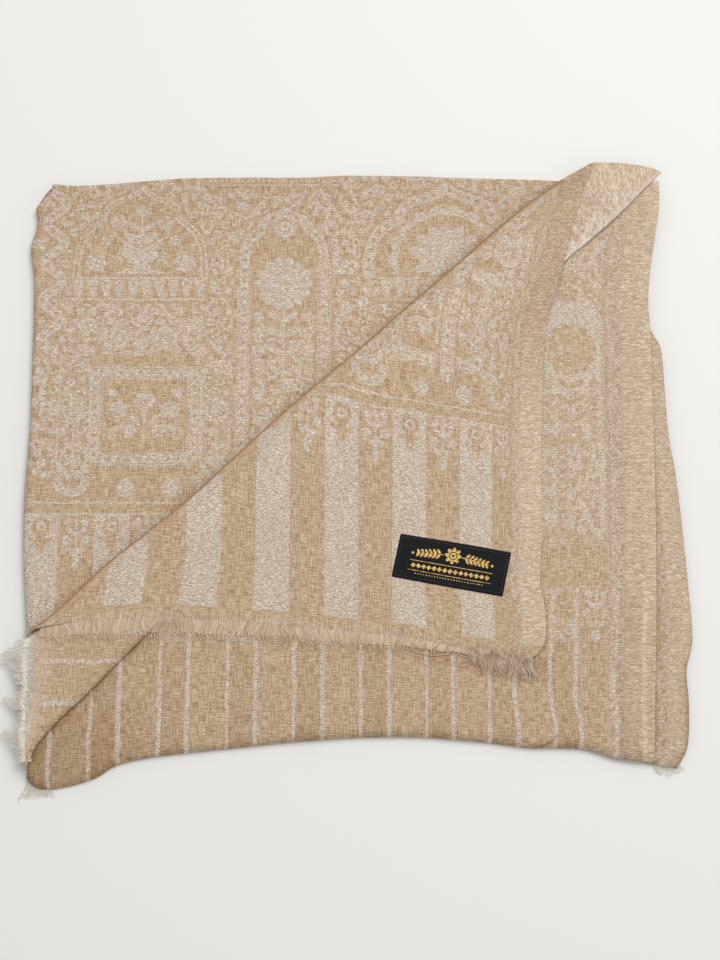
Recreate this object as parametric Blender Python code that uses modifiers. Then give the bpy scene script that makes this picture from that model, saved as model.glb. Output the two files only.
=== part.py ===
"""Pashmina shawl, folded to a square and laid flat, with one corner of its top ply turned back.

A woven shawl of about 1.0 m by 2.0 m is folded in half three times. Its lengthwise fold is on
the left (-X), its crosswise fold at the far side (+Y), its selvedges are on the right (+X) and
its fringed ends at the near side (-Y). The near right corner of the top ply is turned over along
one diagonal fold, the turn, and back again along a second one, the crest, so that it lies as a
flap with its good side up. Lengths are in metres and the shawl lies on the plane Z = 0.
"""

import math

import bpy
from mathutils import Vector

COLLECTION = "pashmina_shawl"

# Cloth and stack
WALL = 0.0010  # thickness of one ply
GAP = 0.0003  # air between two plies
SEAM = 0.0007  # air between two edges that follow one curved line
STEP = WALL + GAP
STACK = 0.0060  # height of the layers inside, which hardly show

# Height of the middle of each ply where it lies flat
LOWER_Z = STACK + GAP + WALL / 2
INNER_Z = LOWER_Z + STEP
TOP_Z = INNER_Z + STEP
STRIP_Z = TOP_Z + STEP

# The outlines count from the middle of the fold, the part's origin is below its box's middle
CENTRE = Vector((-0.0061, 0.0118, 0.0))

# The top ply's two folded edges, with how far the ply comes down round each
TOP_PLY_EDGE = [
    ("x", "y", "drop"),
    (-0.2460, -0.1800, 0.0030),
    (-0.2480, -0.1500, 0.0034),
    (-0.2475, -0.1150, 0.0040),
    (-0.2500, -0.0640, 0.0048),
    (-0.2530, -0.0160, 0.0052),
    (-0.2520, 0.0430, 0.0052),
    (-0.2530, 0.0890, 0.0052),
    (-0.2560, 0.1400, 0.0055),
    (-0.2590, 0.1900, 0.0060),
    (-0.2570, 0.2220, 0.0070),
    (-0.2510, 0.2400, 0.0080),
    (-0.2380, 0.2470, 0.0084),
    (-0.2150, 0.2485, 0.0084),
    (-0.1300, 0.2500, 0.0084),
    (-0.0480, 0.2515, 0.0084),
    (0.0160, 0.2545, 0.0084),
    (0.1020, 0.2525, 0.0084),
    (0.1570, 0.2505, 0.0080),
    (0.2150, 0.2495, 0.0074),
]
TURN = [
    ("x", "y"),
    (-0.2420, -0.2160),
    (-0.2360, -0.2020),
    (-0.2260, -0.1890),
    (-0.2140, -0.1765),
    (-0.2010, -0.1640),
    (-0.1770, -0.1385),
    (-0.1500, -0.1110),
    (-0.0300, -0.0020),
    (0.1000, 0.1200),
    (0.1575, 0.1760),
    (0.1920, 0.2065),
    (0.2110, 0.2250),
    (0.2300, 0.2450),
    (0.2410, 0.2550),
]
CREST = [
    ("x", "y"),
    (-0.2440, -0.1170),
    (-0.2240, -0.1010),
    (-0.1870, -0.0640),
    (-0.1580, -0.0400),
    (-0.1300, -0.0160),
    (-0.1030, 0.0100),
    (-0.0460, 0.0650),
    (-0.0050, 0.1010),
    (0.0370, 0.1400),
    (0.0710, 0.1710),
    (0.1180, 0.2140),
    (0.1570, 0.2450),
    (0.1850, 0.2620),
]
# Where the turn passes under the flap's fringed end and under its selvedge
TURN_UNDER_END = (-0.1495, -0.1105)
TURN_UNDER_SELVEDGE = (0.1570, 0.1760)
# The flap's near and right edges, beyond the turn
FLAP_EDGE = [
    ("x", "y"),
    (-0.1420, -0.1109),
    (-0.1240, -0.1098),
    (-0.0670, -0.1090),
    (-0.0150, -0.1130),
    (0.0360, -0.1200),
    (0.0870, -0.1300),
    (0.1180, -0.1355),
    (0.1310, -0.1330),
    (0.1370, -0.1230),
    (0.1375, -0.1000),
    (0.1345, -0.0790),
    (0.1370, -0.0420),
    (0.1385, 0.0200),
    (0.1410, 0.0790),
    (0.1450, 0.1250),
    (0.1530, 0.1530),
    (0.1600, 0.1660),
]
FLAP_CORNER = (0.1240, -0.1353)  # where the fringed end meets the selvedge

# Edges of the two plies below, with how far each comes down and from how far in
INNER_NEAR = [
    ("x", "y", "drop", "reach"),
    (-0.2420, -0.2250, 0.0068, 0.014),
    (-0.2340, -0.2310, 0.0071, 0.024),
    (-0.2200, -0.2310, 0.0072, 0.028),
    (-0.1940, -0.2240, 0.0072, 0.022),
    (-0.1770, -0.2140, 0.0072, 0.014),
    (-0.1490, -0.2080, 0.0072, 0.011),
    (-0.0950, -0.2020, 0.0072, 0.010),
    (-0.0450, -0.1970, 0.0072, 0.010),
    (0.0000, -0.1940, 0.0072, 0.010),
    (0.0470, -0.1940, 0.0072, 0.010),
    (0.0950, -0.1980, 0.0072, 0.010),
    (0.1230, -0.2015, 0.0072, 0.010),
    (0.1620, -0.2025, 0.0070, 0.010),
    (0.1880, -0.2095, 0.0036, 0.018),
    (0.2140, -0.2125, 0.0032, 0.022),
]
INNER_RIGHT = [
    ("x", "y", "drop", "reach"),
    (0.2140, -0.2125, 0.0, 0.01),
    (0.2165, -0.1680, 0.0, 0.01),
    (0.2190, -0.1300, 0.0, 0.01),
    (0.2215, -0.0840, 0.0, 0.01),
    (0.2235, -0.0300, 0.0, 0.01),
    (0.2250, 0.0300, 0.0, 0.01),
    (0.2260, 0.0900, 0.0, 0.01),
    (0.2265, 0.1220, 0.0, 0.01),
    (0.2260, 0.1470, 0.0, 0.01),
    (0.2290, 0.1740, 0.0, 0.01),
    (0.2350, 0.2050, 0.0, 0.01),
    (0.2385, 0.2280, 0.0, 0.01),
    (0.2390, 0.2440, 0.0, 0.01),
]
INNER_FAR = [("x", "y"), (-0.2400, 0.2310), (-0.2000, 0.2370), (0.2000, 0.2400), (0.2390, 0.2440)]
INNER_LEFT = [("x", "y"), (-0.2420, -0.2250), (-0.2400, -0.1900), (-0.2400, 0.0), (-0.2400, 0.2310)]

# Where a ply's sections lie, as shares of its width and of its length
INNER_SHARES = [0.0, 0.02, 0.05, 0.09, 0.14, 0.21, 0.29, 0.37, 0.45, 0.53, 0.61, 0.69, 0.77]
INNER_SHARES += [0.83, 0.88, 0.91, 0.94, 0.97, 1.0]
INNER_DEPTHS = [0.0, 0.0012, 0.0040, 0.0085, 0.016, 0.030, 0.060, 0.115, 0.19, 0.28, 0.38, 0.48]
INNER_DEPTHS += [0.58, 0.68, 0.77, 0.84, 0.90, 0.96, 1.0]

LOWER_NEAR = [
    ("x", "y", "drop", "reach"),
    (-0.2320, -0.1960, 0.0, 0.01),
    (-0.1500, -0.1950, 0.0, 0.01),
    (-0.0500, -0.1850, 0.0, 0.01),
    (0.0500, -0.1830, 0.0, 0.01),
    (0.1500, -0.1905, 0.0, 0.01),
    (0.1800, -0.1965, 0.0010, 0.012),
    (0.1960, -0.2060, 0.0044, 0.016),
    (0.2120, -0.2130, 0.0049, 0.018),
    (0.2290, -0.2155, 0.0050, 0.020),
]
LOWER_RIGHT = [
    ("x", "y", "drop", "reach"),
    (0.2290, -0.2155, 0.0050, 0.016),
    (0.2375, -0.2010, 0.0046, 0.016),
    (0.2420, -0.1690, 0.0034, 0.018),
    (0.2415, -0.1450, 0.0030, 0.018),
    (0.2470, -0.1220, 0.0030, 0.020),
    (0.2460, -0.0800, 0.0028, 0.018),
    (0.2440, -0.0400, 0.0026, 0.016),
    (0.2410, 0.0050, 0.0022, 0.014),
    (0.2370, 0.0370, 0.0016, 0.010),
    (0.2355, 0.0810, 0.0008, 0.008),
    (0.2335, 0.1050, 0.0000, 0.008),
    (0.2260, 0.1220, 0.0000, 0.008),
    (0.2245, 0.1470, 0.0000, 0.008),
    (0.2250, 0.1740, 0.0000, 0.008),
    (0.2320, 0.2200, 0.0000, 0.008),
    (0.2320, 0.2380, 0.0000, 0.008),
]
LOWER_FAR = [("x", "y"), (-0.2390, 0.2300), (-0.2000, 0.2360), (0.2320, 0.2380)]
LOWER_LEFT = [("x", "y"), (-0.2320, -0.1960), (-0.2390, 0.0), (-0.2390, 0.2300)]

LOWER_SHARES = [0.0, 0.20, 0.45, 0.68, 0.82, 0.88, 0.91, 0.935, 0.955, 0.972, 0.986, 0.995, 1.0]
LOWER_DEPTHS = [0.0, 0.008, 0.020, 0.035, 0.060, 0.10, 0.15, 0.21, 0.28, 0.36, 0.45, 0.54, 0.63]
LOWER_DEPTHS += [0.71, 0.78, 0.86, 1.0]

# Share of the drop at an edge, by the distance in from it as a share of its reach
SAG = [
    ("distance", "share"),
    (0.00, 1.00),
    (0.04, 0.62),
    (0.14, 0.33),
    (0.32, 0.12),
    (0.60, 0.02),
    (1.00, 0.00),
]
EDGE_REACH = 0.0100  # reach of the top ply's folded edges

# Rise of the flap over the flat top ply, by distance from the turn, positive on the strip
FLAP_RISE = [
    ("distance", "rise"),
    (-0.0300, 0.0000),
    (-0.0200, 0.0005),
    (-0.0110, 0.0020),
    (-0.0040, 0.0039),
    (0.0000, 0.0044),
    (0.0050, 0.0043),
    (0.0090, 0.0036),
    (0.0140, 0.0026),
]
# Rise of the strip beside the turn's roll, over its flat height
STRIP_RISE = [
    ("distance", "rise"),
    (0.0000, 0.0015),
    (0.0050, 0.0013),
    (0.0090, 0.0006),
    (0.0140, 0.0000),
]
# Rise of the flap beside the crest's roll, as a share of its rise at the roll's top
CREST_FALL = [
    ("distance", "share"),
    (0.0020, 1.00),
    (0.0050, 0.93),
    (0.0100, 0.55),
    (0.0170, 0.00),
]
TURN_RADIUS = 0.0014
CREST_RADIUS_NEAR = 0.0016  # at the fringed end
CREST_RADIUS_FAR = 0.0030  # at the selvedge, where the fold stands highest
LIP = 0.0060  # how far a roll reaches back under itself
ROLL_STEPS = 5

# Soft swells of the top ply
SWELLS = [
    ("x", "y", "length", "width", "angle", "height"),
    (-0.2050, 0.1900, 0.0500, 0.0180, 60.0, 0.0012),
    (-0.1250, 0.1200, 0.0700, 0.0220, 20.0, 0.0010),
    (-0.0150, 0.2020, 0.0750, 0.0180, 5.0, 0.0011),
    (-0.2100, 0.0450, 0.0600, 0.0200, 85.0, 0.0010),
    (0.0800, 0.2200, 0.0500, 0.0160, 30.0, 0.0009),
]

# Label on the flap
LABEL_LENGTH = 0.0840
LABEL_WIDTH = 0.0340
LABEL_WALL = 0.0008
LABEL_X = 0.0685
LABEL_Y = -0.0660
LABEL_ANGLE = -9.6  # degrees

# Fringe
FRINGE_STRIP = 0.0025  # width of the woven strip that carries the strands
FRINGE_WALL = 0.0008
STRAND_TIP = 0.0007
SIDE_FRINGE_FROM = (-0.2437, -0.1235)
SIDE_FRINGE_TO = (-0.2423, -0.2100)
HANG_START_X = -0.2490  # the side fringe hangs beyond this
HANG_START_Y = -0.2150  # the right tuft hangs nearer than this
HANG_SLOPE = 0.28
FRINGES = {
    "flap_fringe": {"strands": 72, "reach": 0.0150, "sway": 0.0009},
    "side_fringe": {"strands": 18, "reach": 0.0120, "sway": 0.0009},
    "left_tuft": {"strands": 6, "reach": 0.0075, "sway": 0.0003},
    "right_tuft": {"strands": 5, "reach": 0.0075, "sway": 0.0003},
}

# Layers inside the stack
STACK_OUTLINE = [
    ("x", "y"),
    (-0.2300, -0.1900),
    (-0.2370, -0.1800),
    (-0.2380, -0.1200),
    (-0.2400, 0.0000),
    (-0.2440, 0.1400),
    (-0.2470, 0.2150),
    (-0.2420, 0.2350),
    (-0.2250, 0.2400),
    (0.0000, 0.2440),
    (0.2050, 0.2390),
    (0.2230, 0.2330),
    (0.2220, 0.2100),
    (0.2170, 0.1500),
    (0.2240, 0.0300),
    (0.2290, -0.0800),
    (0.2260, -0.1750),
    (0.2170, -0.1930),
    (0.2000, -0.1960),
    (0.0500, -0.1810),
    (-0.0500, -0.1830),
]
STACK_SIDES = 48
LAYERS = [
    ("height", "inset"),
    (0.0000, 0.0012),
    (0.0007, 0.0000),
    (0.0014, 0.0012),
    (0.0022, 0.0000),
    (0.0030, 0.0030),
    (0.0038, 0.0016),
    (0.0046, 0.0034),
    (0.0053, 0.0022),
    (0.0060, 0.0044),
]

# Colours as linear RGB
GROUND = (0.47, 0.34, 0.22, 1.0)
REVERSE = (0.45, 0.33, 0.21, 1.0)
SELVEDGE = (0.56, 0.43, 0.30, 1.0)
YARN = (0.60, 0.50, 0.38, 1.0)
SATIN = (0.012, 0.012, 0.013, 1.0)


# Tables and curves


def rows(table):
    """The rows of a table without its column names."""
    return table[1:]


def interpolate(table, at):
    """The second column of a table at a value of the first, flat past its ends."""
    points = rows(table)
    if at <= points[0][0]:
        return points[0][1]
    for (x0, y0), (x1, y1) in zip(points, points[1:]):
        if at <= x1:
            return y0 + (y1 - y0) * (at - x0) / (x1 - x0)
    return points[-1][1]


def smoothstep(low, high, value):
    share = min(1.0, max(0.0, (value - low) / (high - low)))
    return share * share * (3.0 - 2.0 * share)


def smooth(table, fineness=6, closed=False):
    """A fine line through a table's rows, rounded between them, with all of their columns."""
    p = [Vector(row) for row in rows(table)]
    if closed:
        p = [p[-1], *p, p[0], p[1]]
    else:
        p = [p[0] * 2 - p[1], *p, p[-1] * 2 - p[-2]]
    gaps = [(plan(b) - plan(a)).length for a, b in zip(p, p[1:])]
    fine = []
    for i in range(1, len(p) - 2):
        a, b, gap = p[i], p[i + 1], gaps[i]
        leaving = (b - p[i - 1]) * gap / (gaps[i - 1] + gap)
        arriving = (p[i + 2] - a) * gap / (gap + gaps[i + 1])
        for k in range(fineness):
            t = k / fineness
            bend = (2 * t - 3) * t * t
            fine.append(
                a * (1 + bend)
                - b * bend
                + leaving * t * (1 - t) * (1 - t)
                - arriving * t * t * (1 - t)
            )
    return fine if closed else [*fine, p[-2]]


def plan(point):
    return Vector(point[:2])


def even(count):
    """Count shares at even spacing from 0 to 1."""
    return [i / (count - 1) for i in range(count)]


def spread(line, shares):
    """The points of a line at rising shares of its length."""
    lengths = [0.0]
    for a, b in zip(line, line[1:]):
        lengths.append(lengths[-1] + (plan(b) - plan(a)).length)
    points = []
    k = 0
    for share in shares:
        at = lengths[-1] * share
        while k < len(line) - 2 and lengths[k + 1] < at:
            k += 1
        between = (at - lengths[k]) / (lengths[k + 1] - lengths[k])
        points.append(line[k].lerp(line[k + 1], min(1.0, between)))
    return points


def stretch(line, start, end):
    """The part of a line between its points nearest to two places."""
    first = min(range(len(line)), key=lambda i: (line[i] - Vector(start)).length)
    last = min(range(len(line)), key=lambda i: (line[i] - Vector(end)).length)
    return line[first : last + 1]


def shifted(line, distance):
    """A line moved to its left by a distance."""
    moved = []
    for i, point in enumerate(line):
        along = line[min(i + 1, len(line) - 1)] - line[max(i - 1, 0)]
        moved.append(point + Vector((-along.y, along.x)).normalized() * distance)
    return moved


def nearest(line, point):
    """The place on a line nearest to a point, and the distance, positive on the line's left."""
    best = None
    for a, b in zip(line, line[1:]):
        along = plan(b) - plan(a)
        offset = point - plan(a)
        share = min(1.0, max(0.0, offset.dot(along) / along.length_squared))
        away = offset - along * share
        if best is None or away.length < abs(best[1]):
            side = along.x * away.y - along.y * away.x
            best = (a.lerp(b, share), math.copysign(away.length, side))
    return best


TURN_LINE = smooth(TURN)
CREST_LINE = smooth(CREST)


# Heights


def flap_height(point):
    """Middle of the flap's wall over a point, without the crest's rise."""
    return TOP_Z + interpolate(FLAP_RISE, nearest(TURN_LINE, point)[1])


def strip_height(point):
    return STRIP_Z + interpolate(STRIP_RISE, nearest(TURN_LINE, point)[1])


def swell(point):
    """Height of the top ply's swells, which die out towards the crest."""
    height = 0.0
    for x, y, length, width, angle, rise in rows(SWELLS):
        turn = math.radians(angle)
        offset = point - Vector((x, y))
        along = offset.x * math.cos(turn) + offset.y * math.sin(turn)
        across = offset.y * math.cos(turn) - offset.x * math.sin(turn)
        height += rise * math.exp(-((along / length) ** 2) - (across / width) ** 2)
    return height * smoothstep(0.012, 0.040, nearest(CREST_LINE, point)[1])


# Meshes


def material(name, colour, roughness):
    made = bpy.data.materials.new(name)
    made.use_nodes = True
    shader = made.node_tree.nodes["Principled BSDF"]
    shader.inputs["Base Color"].default_value = colour
    shader.inputs["Roughness"].default_value = roughness
    shader.inputs["Metallic"].default_value = 0.0
    return made


def add_mesh(name, points, faces, finish):
    mesh = bpy.data.meshes.new(name)
    mesh.from_pydata([point - CENTRE for point in points], [], faces)
    mesh.materials.append(finish)
    mesh.shade_smooth()
    made = bpy.data.objects.new(name, mesh)
    bpy.data.collections[COLLECTION].objects.link(made)
    return made


def cloth(name, sections, finish, wall=WALL):
    """A wall of cloth round the open surface through the sections."""
    across = len(sections[0])
    faces = []
    for i in range(len(sections) - 1):
        for j in range(across - 1):
            corner = i * across + j
            faces.append((corner, corner + across, corner + across + 1, corner + 1))
    made = add_mesh(name, [point for section in sections for point in section], faces, finish)
    thick = made.modifiers.new("wall", "SOLIDIFY")
    thick.thickness = wall
    thick.offset = 0.0
    thick.use_even_offset = True
    return made


def raised(place, height):
    return Vector((place.x, place.y, height))


def across_to(start, end, line_direction):
    """Step from start towards end that goes 1 m square to a line's direction."""
    towards = (end - start).normalized()
    square = abs(towards.x * line_direction.y - towards.y * line_direction.x)
    return towards / square


def direction(points, i):
    return (points[min(i + 1, len(points) - 1)] - points[max(i - 1, 0)]).normalized()


def roll(edge, inward, radius, base):
    """A fold's roll, from the end of the lip under it round the edge to its top."""
    section = [raised(edge + inward * LIP, base), raised(edge + inward * (LIP + radius) / 2, base)]
    for k in range(ROLL_STEPS + 1):
        angle = math.pi * k / ROLL_STEPS
        place = edge + inward * radius * (1.0 - math.sin(angle))
        section.append(raised(place, base + radius * (1.0 - math.cos(angle))))
    return section


def sag(edge, inside):
    """How far a ply has come down at a distance in from an edge with a drop and a reach."""
    return edge[2] * interpolate(SAG, inside / edge[3])


def four_sided(near, far, left, right, shares, depths, level):
    """Sections of a four-sided ply that comes down at its near and right edges."""
    near_line = spread(smooth(near), shares)
    far_line = spread(smooth(far), shares)
    left_line = spread(smooth(left), depths)
    right_line = spread(smooth(right), depths)
    near_end, near_start = plan(near_line[-1]), plan(near_line[0])
    sections = []
    for v, left_end, right_end in zip(depths, left_line, right_line):
        section = []
        for u, low, high in zip(shares, near_line, far_line):
            ruled = plan(low).lerp(high, v) + left_end.lerp(plan(right_end), u)
            low_corners = near_start.lerp(near_end, u)
            high_corners = far_line[0].lerp(far_line[-1], u)
            place = ruled - low_corners.lerp(high_corners, v)
            down = sag(low, (place - plan(low)).length)
            down = max(down, sag(right_end, (place - plan(right_end)).length))
            section.append(raised(place, level - down))
        sections.append(section)
    return sections


# The pieces


def make_hidden_layers(finish):
    """The layers inside the fold, as one solid with a layered edge and a flat underside."""
    line = smooth(STACK_OUTLINE, closed=True)
    outline = spread([*line, line[0]], even(STACK_SIDES + 1))[:-1]
    points = []
    for height, inset in rows(LAYERS):
        for i, place in enumerate(outline):
            along = outline[(i + 1) % STACK_SIDES] - outline[i - 1]
            inward = Vector((along.y, -along.x)).normalized()
            points.append(raised(place + inward * inset, height))
    count = len(rows(LAYERS))
    faces = [tuple(range(STACK_SIDES))]
    for ring in range(count - 1):
        for i in range(STACK_SIDES):
            a = ring * STACK_SIDES + i
            b = ring * STACK_SIDES + (i + 1) % STACK_SIDES
            faces.append((b, a, a + STACK_SIDES, b + STACK_SIDES))
    last = (count - 1) * STACK_SIDES
    faces.append(tuple(range(last + STACK_SIDES - 1, last - 1, -1)))
    add_mesh("hidden_layers", points, faces, finish)


def make_lower_ply(finish):
    sections = four_sided(
        LOWER_NEAR,
        LOWER_FAR,
        LOWER_LEFT,
        LOWER_RIGHT,
        LOWER_SHARES,
        LOWER_DEPTHS,
        LOWER_Z,
    )
    cloth("lower_ply", sections, finish)


def make_inner_ply(finish):
    sections = four_sided(
        INNER_NEAR,
        INNER_FAR,
        INNER_LEFT,
        INNER_RIGHT,
        INNER_SHARES,
        INNER_DEPTHS,
        INNER_Z,
    )
    cloth("inner_ply", sections, finish)
    return [plan(point) for point in sections[0]]


def make_top_ply(finish):
    """The top ply from its folded edges in to where the turn's roll begins."""
    columns = even(34)
    shares = [share for share, _ in rows(SAG)]
    inner_shares = [0.10, 0.22, 0.36, 0.52, 0.70, 0.86, 1.0]
    edge = spread(smooth(TOP_PLY_EDGE), columns)
    seam = shifted(TURN_LINE, LIP + SEAM)
    seam = spread(stretch(seam, (-0.2270, -0.1790), (0.2145, 0.2365)), columns)
    sections = []
    for start, end in zip(edge, seam):
        outer = plan(start)
        towards = (end - outer).normalized()
        section = []
        for share in shares:
            place = outer + towards * share * EDGE_REACH
            down = start[2] * interpolate(SAG, share)
            section.append(raised(place, TOP_Z - down + swell(place)))
        inner = outer + towards * EDGE_REACH
        for share in inner_shares:
            place = inner.lerp(end, share)
            section.append(raised(place, TOP_Z + swell(place)))
        sections.append(section)
    cloth("top_ply", sections, finish)


def make_turned_strip(finish):
    """The strip between the two diagonal folds, with the turn's roll and its reverse side up."""
    columns = even(28)
    turn = spread(TURN_LINE, columns)
    crest = spread(CREST_LINE, columns)
    sections = []
    for i in range(len(columns)):
        inward = across_to(turn[i], crest[i], direction(turn, i))
        outward = across_to(crest[i], turn[i], direction(crest, i))
        section = roll(turn[i], inward, TURN_RADIUS, TOP_Z)
        for distance, rise in rows(STRIP_RISE)[1:]:
            section.append(raised(turn[i] + inward * distance, STRIP_Z + rise))
        first = turn[i] + inward * STRIP_RISE[-1][0]
        last = crest[i] + outward * (LIP + SEAM)
        for share in (0.5, 1.0):
            section.append(raised(first.lerp(last, share), STRIP_Z))
        sections.append(section)
    cloth("turned_strip", sections, finish)


def flap_sections():
    """Sections of the flap from under the crest's roll, over the turn, to its free edges."""
    columns = even(32)
    crest = spread(CREST_LINE, columns)
    turn = spread(stretch(TURN_LINE, TURN_UNDER_END, TURN_UNDER_SELVEDGE), columns)
    edge = spread(smooth(FLAP_EDGE), columns)
    outer_shares = [0.05, 0.11, 0.19, 0.30, 0.45, 0.62, 0.80, 1.0]
    before_turn = [distance for distance, _ in reversed(rows(FLAP_RISE)) if distance >= 0.0]
    sections = []
    for i, column in enumerate(columns):
        share = smoothstep(0.3, 1.0, column)
        radius = CREST_RADIUS_NEAR + (CREST_RADIUS_FAR - CREST_RADIUS_NEAR) * share
        inward = across_to(crest[i], turn[i], direction(crest, i))
        back = across_to(turn[i], crest[i], direction(turn, i))
        section = roll(crest[i], inward, radius, STRIP_Z)
        for distance, fall in rows(CREST_FALL)[1:]:
            place = crest[i] + inward * distance
            height = flap_height(place) + (2 * radius - STEP) * fall
            section.append(raised(place, height))
        before = [turn[i] + back * distance for distance in before_turn]
        middle = (crest[i] + inward * CREST_FALL[-1][0]).lerp(before[0], 0.5)
        beyond = [turn[i].lerp(edge[i], share) for share in outer_shares]
        for place in [middle, *before, *beyond]:
            section.append(raised(place, flap_height(place)))
        sections.append(section)
    return sections


def make_label(finish):
    turn = math.radians(LABEL_ANGLE)
    along = Vector((math.cos(turn), math.sin(turn)))
    up = Vector((-along.y, along.x))
    middle = Vector((LABEL_X, LABEL_Y))
    sections = []
    for across in even(4):
        section = []
        for share in even(9):
            right = along * LABEL_LENGTH * (share - 0.5)
            place = middle + right + up * LABEL_WIDTH * (0.5 - across)
            height = flap_height(place) + (WALL + LABEL_WALL) / 2 + GAP
            section.append(raised(place, height))
        sections.append(section)
    cloth("label", sections, finish, LABEL_WALL)


def make_fringe(name, line, height, finish):
    """A narrow strip along a line with strands drawn out of its front, to the line's right."""
    strands = FRINGES[name]["strands"]
    reach = FRINGES[name]["reach"]
    sway = FRINGES[name]["sway"]
    stations = spread(line, even(2 * strands + 1))
    half = FRINGE_WALL / 2
    points = []
    outwards = []
    for i, root in enumerate(stations):
        along = direction(stations, i)
        outward = Vector((along.y, -along.x))
        outwards.append(outward)
        for distance in (SEAM, SEAM + FRINGE_STRIP):
            place = root + outward * distance
            level = height(place)
            points.append(raised(place, level - half))
            points.append(raised(place, level + half))
    faces = []
    for i in range(2 * strands):
        a = 4 * i
        b = a + 4
        faces.append((a + 1, a + 3, b + 3, b + 1))
        faces.append((a, b, b + 2, a + 2))
        faces.append((a, a + 1, b + 1, b))
        if i % 2:
            faces.append((a + 2, b + 2, b + 3, a + 3))
    end = 8 * strands
    faces.append((0, 2, 3, 1))
    faces.append((end, end + 1, end + 3, end + 2))
    for strand in range(strands):
        i = 2 * strand
        corners = [4 * i + 2, 4 * i + 6, 4 * i + 7, 4 * i + 3]
        root = (stations[i] + stations[i + 1]) / 2
        outward = outwards[i]
        side = Vector((-outward.y, outward.x))
        width = (stations[i + 1] - stations[i]).length
        length = reach * (0.86 + 0.14 * math.sin(2.3 * strand) * math.cos(0.7 * strand))
        previous = corners
        for step, slim in ((0.45, 0.55), (1.0, 0.35)):
            bend = sway * math.sin(1.9 * strand + 4.0 * step)
            place = root + outward * (SEAM + FRINGE_STRIP + length * step) + side * bend
            level = height(place)
            thick = max(STRAND_TIP, FRINGE_WALL * slim) / 2
            half_width = max(STRAND_TIP, width * slim) / 2
            first = len(points)
            for a, b in ((-1, -1), (1, -1), (1, 1), (-1, 1)):
                points.append(raised(place + side * half_width * a, level + thick * b))
            ring = [first, first + 1, first + 2, first + 3]
            for k in range(4):
                m = (k + 1) % 4
                faces.append((previous[k], previous[m], ring[m], ring[k]))
            previous = ring
        faces.append(tuple(previous))
    add_mesh(name, points, faces, finish)


def make_flap_with_fringe(finish, yarn):
    """The flap, and the fringe along its near end from beside the crest to its corner."""
    sections = flap_sections()
    cloth("corner_flap", sections, finish)
    past_crest = ROLL_STEPS + 5  # place in a section of the first point past the crest's rise
    over_strip = [plan(point) for point in sections[0][past_crest:]]
    edge = [plan(section[-1]) for section in sections]
    make_fringe("flap_fringe", over_strip + stretch(edge, edge[1], FLAP_CORNER), flap_height, yarn)


def make_side_fringe(finish):
    """Fringe at the turned strip's end, which hangs a little over the stack's left edge."""

    def height(place):
        return strip_height(place) - HANG_SLOPE * max(0.0, HANG_START_X - place.x)

    near_end, far_end = Vector(SIDE_FRINGE_FROM), Vector(SIDE_FRINGE_TO)
    make_fringe("side_fringe", [near_end, far_end], height, finish)


def make_tufts(near_edge, finish):
    """Ends of the folded-under fringe that show at the near corners."""
    left_level = INNER_Z - INNER_NEAR[2][2]
    right_level = INNER_Z - INNER_NEAR[-1][2]

    def right_height(place):
        return right_level - HANG_SLOPE / 2 * max(0.0, HANG_START_Y - place.y)

    make_fringe("left_tuft", near_edge[:2], lambda place: left_level, finish)
    make_fringe("right_tuft", near_edge[-2:], right_height, finish)


def main():
    for old in list(bpy.data.objects):
        bpy.data.objects.remove(old)
    bpy.context.scene.collection.children.link(bpy.data.collections.new(COLLECTION))
    good_side = material("twill_good_side", GROUND, 0.85)
    reverse = material("twill_reverse", REVERSE, 0.88)
    selvedge = material("selvedge_crepe", SELVEDGE, 0.88)
    yarn = material("fringe_yarn", YARN, 0.9)
    satin = material("label_satin", SATIN, 0.35)
    make_hidden_layers(reverse)
    make_lower_ply(selvedge)
    near_edge = make_inner_ply(reverse)
    make_top_ply(good_side)
    make_turned_strip(reverse)
    make_flap_with_fringe(good_side, yarn)
    make_side_fringe(yarn)
    make_tufts(near_edge, yarn)
    make_label(satin)


main()
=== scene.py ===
"""Looks of the folded pashmina shawl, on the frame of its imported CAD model.

Each ply is one thin sheet on the form of its solid. The figured weave is drawn in code as a chart
in the cloth's own millimetres, and every sheet reads the chart where its threads lie. Lengths are
in metres unless a name says otherwise; the tables of outlines and heights repeat the part's.
"""

import math

import bpy
import numpy as np
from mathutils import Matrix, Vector


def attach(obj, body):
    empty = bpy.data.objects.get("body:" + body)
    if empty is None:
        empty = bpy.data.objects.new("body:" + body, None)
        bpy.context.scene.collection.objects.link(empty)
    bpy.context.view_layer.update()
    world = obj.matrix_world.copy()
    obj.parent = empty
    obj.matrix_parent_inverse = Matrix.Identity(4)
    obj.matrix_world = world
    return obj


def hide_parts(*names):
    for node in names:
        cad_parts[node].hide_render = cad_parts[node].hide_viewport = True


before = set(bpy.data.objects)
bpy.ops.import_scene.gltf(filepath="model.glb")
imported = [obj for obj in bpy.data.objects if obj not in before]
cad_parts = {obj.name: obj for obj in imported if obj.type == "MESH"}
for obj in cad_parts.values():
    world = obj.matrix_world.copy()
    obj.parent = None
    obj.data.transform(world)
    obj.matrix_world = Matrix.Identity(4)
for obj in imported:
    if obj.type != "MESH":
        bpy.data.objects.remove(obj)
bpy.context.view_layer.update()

rng = np.random.default_rng(7)
BOTH = (-1, 1)  # left and right


def metres(*rows):
    """A table whose rows are written in millimetres."""
    return np.array(rows, float) / 1000


# Cloth and stack, as in the part; a table's columns are named beside its first line

WALL = 0.0010
GAP = 0.0003
STEP = WALL + GAP
STACK = 0.0060
LOWER_Z = STACK + GAP + WALL / 2
INNER_Z = LOWER_Z + STEP
TOP_Z = INNER_Z + STEP
STRIP_Z = TOP_Z + STEP
SKIN = 0.0004  # from the middle of a solid wall out to the sheet that shows
CENTRE = np.array([-0.0061, 0.0118, 0.0])

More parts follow.
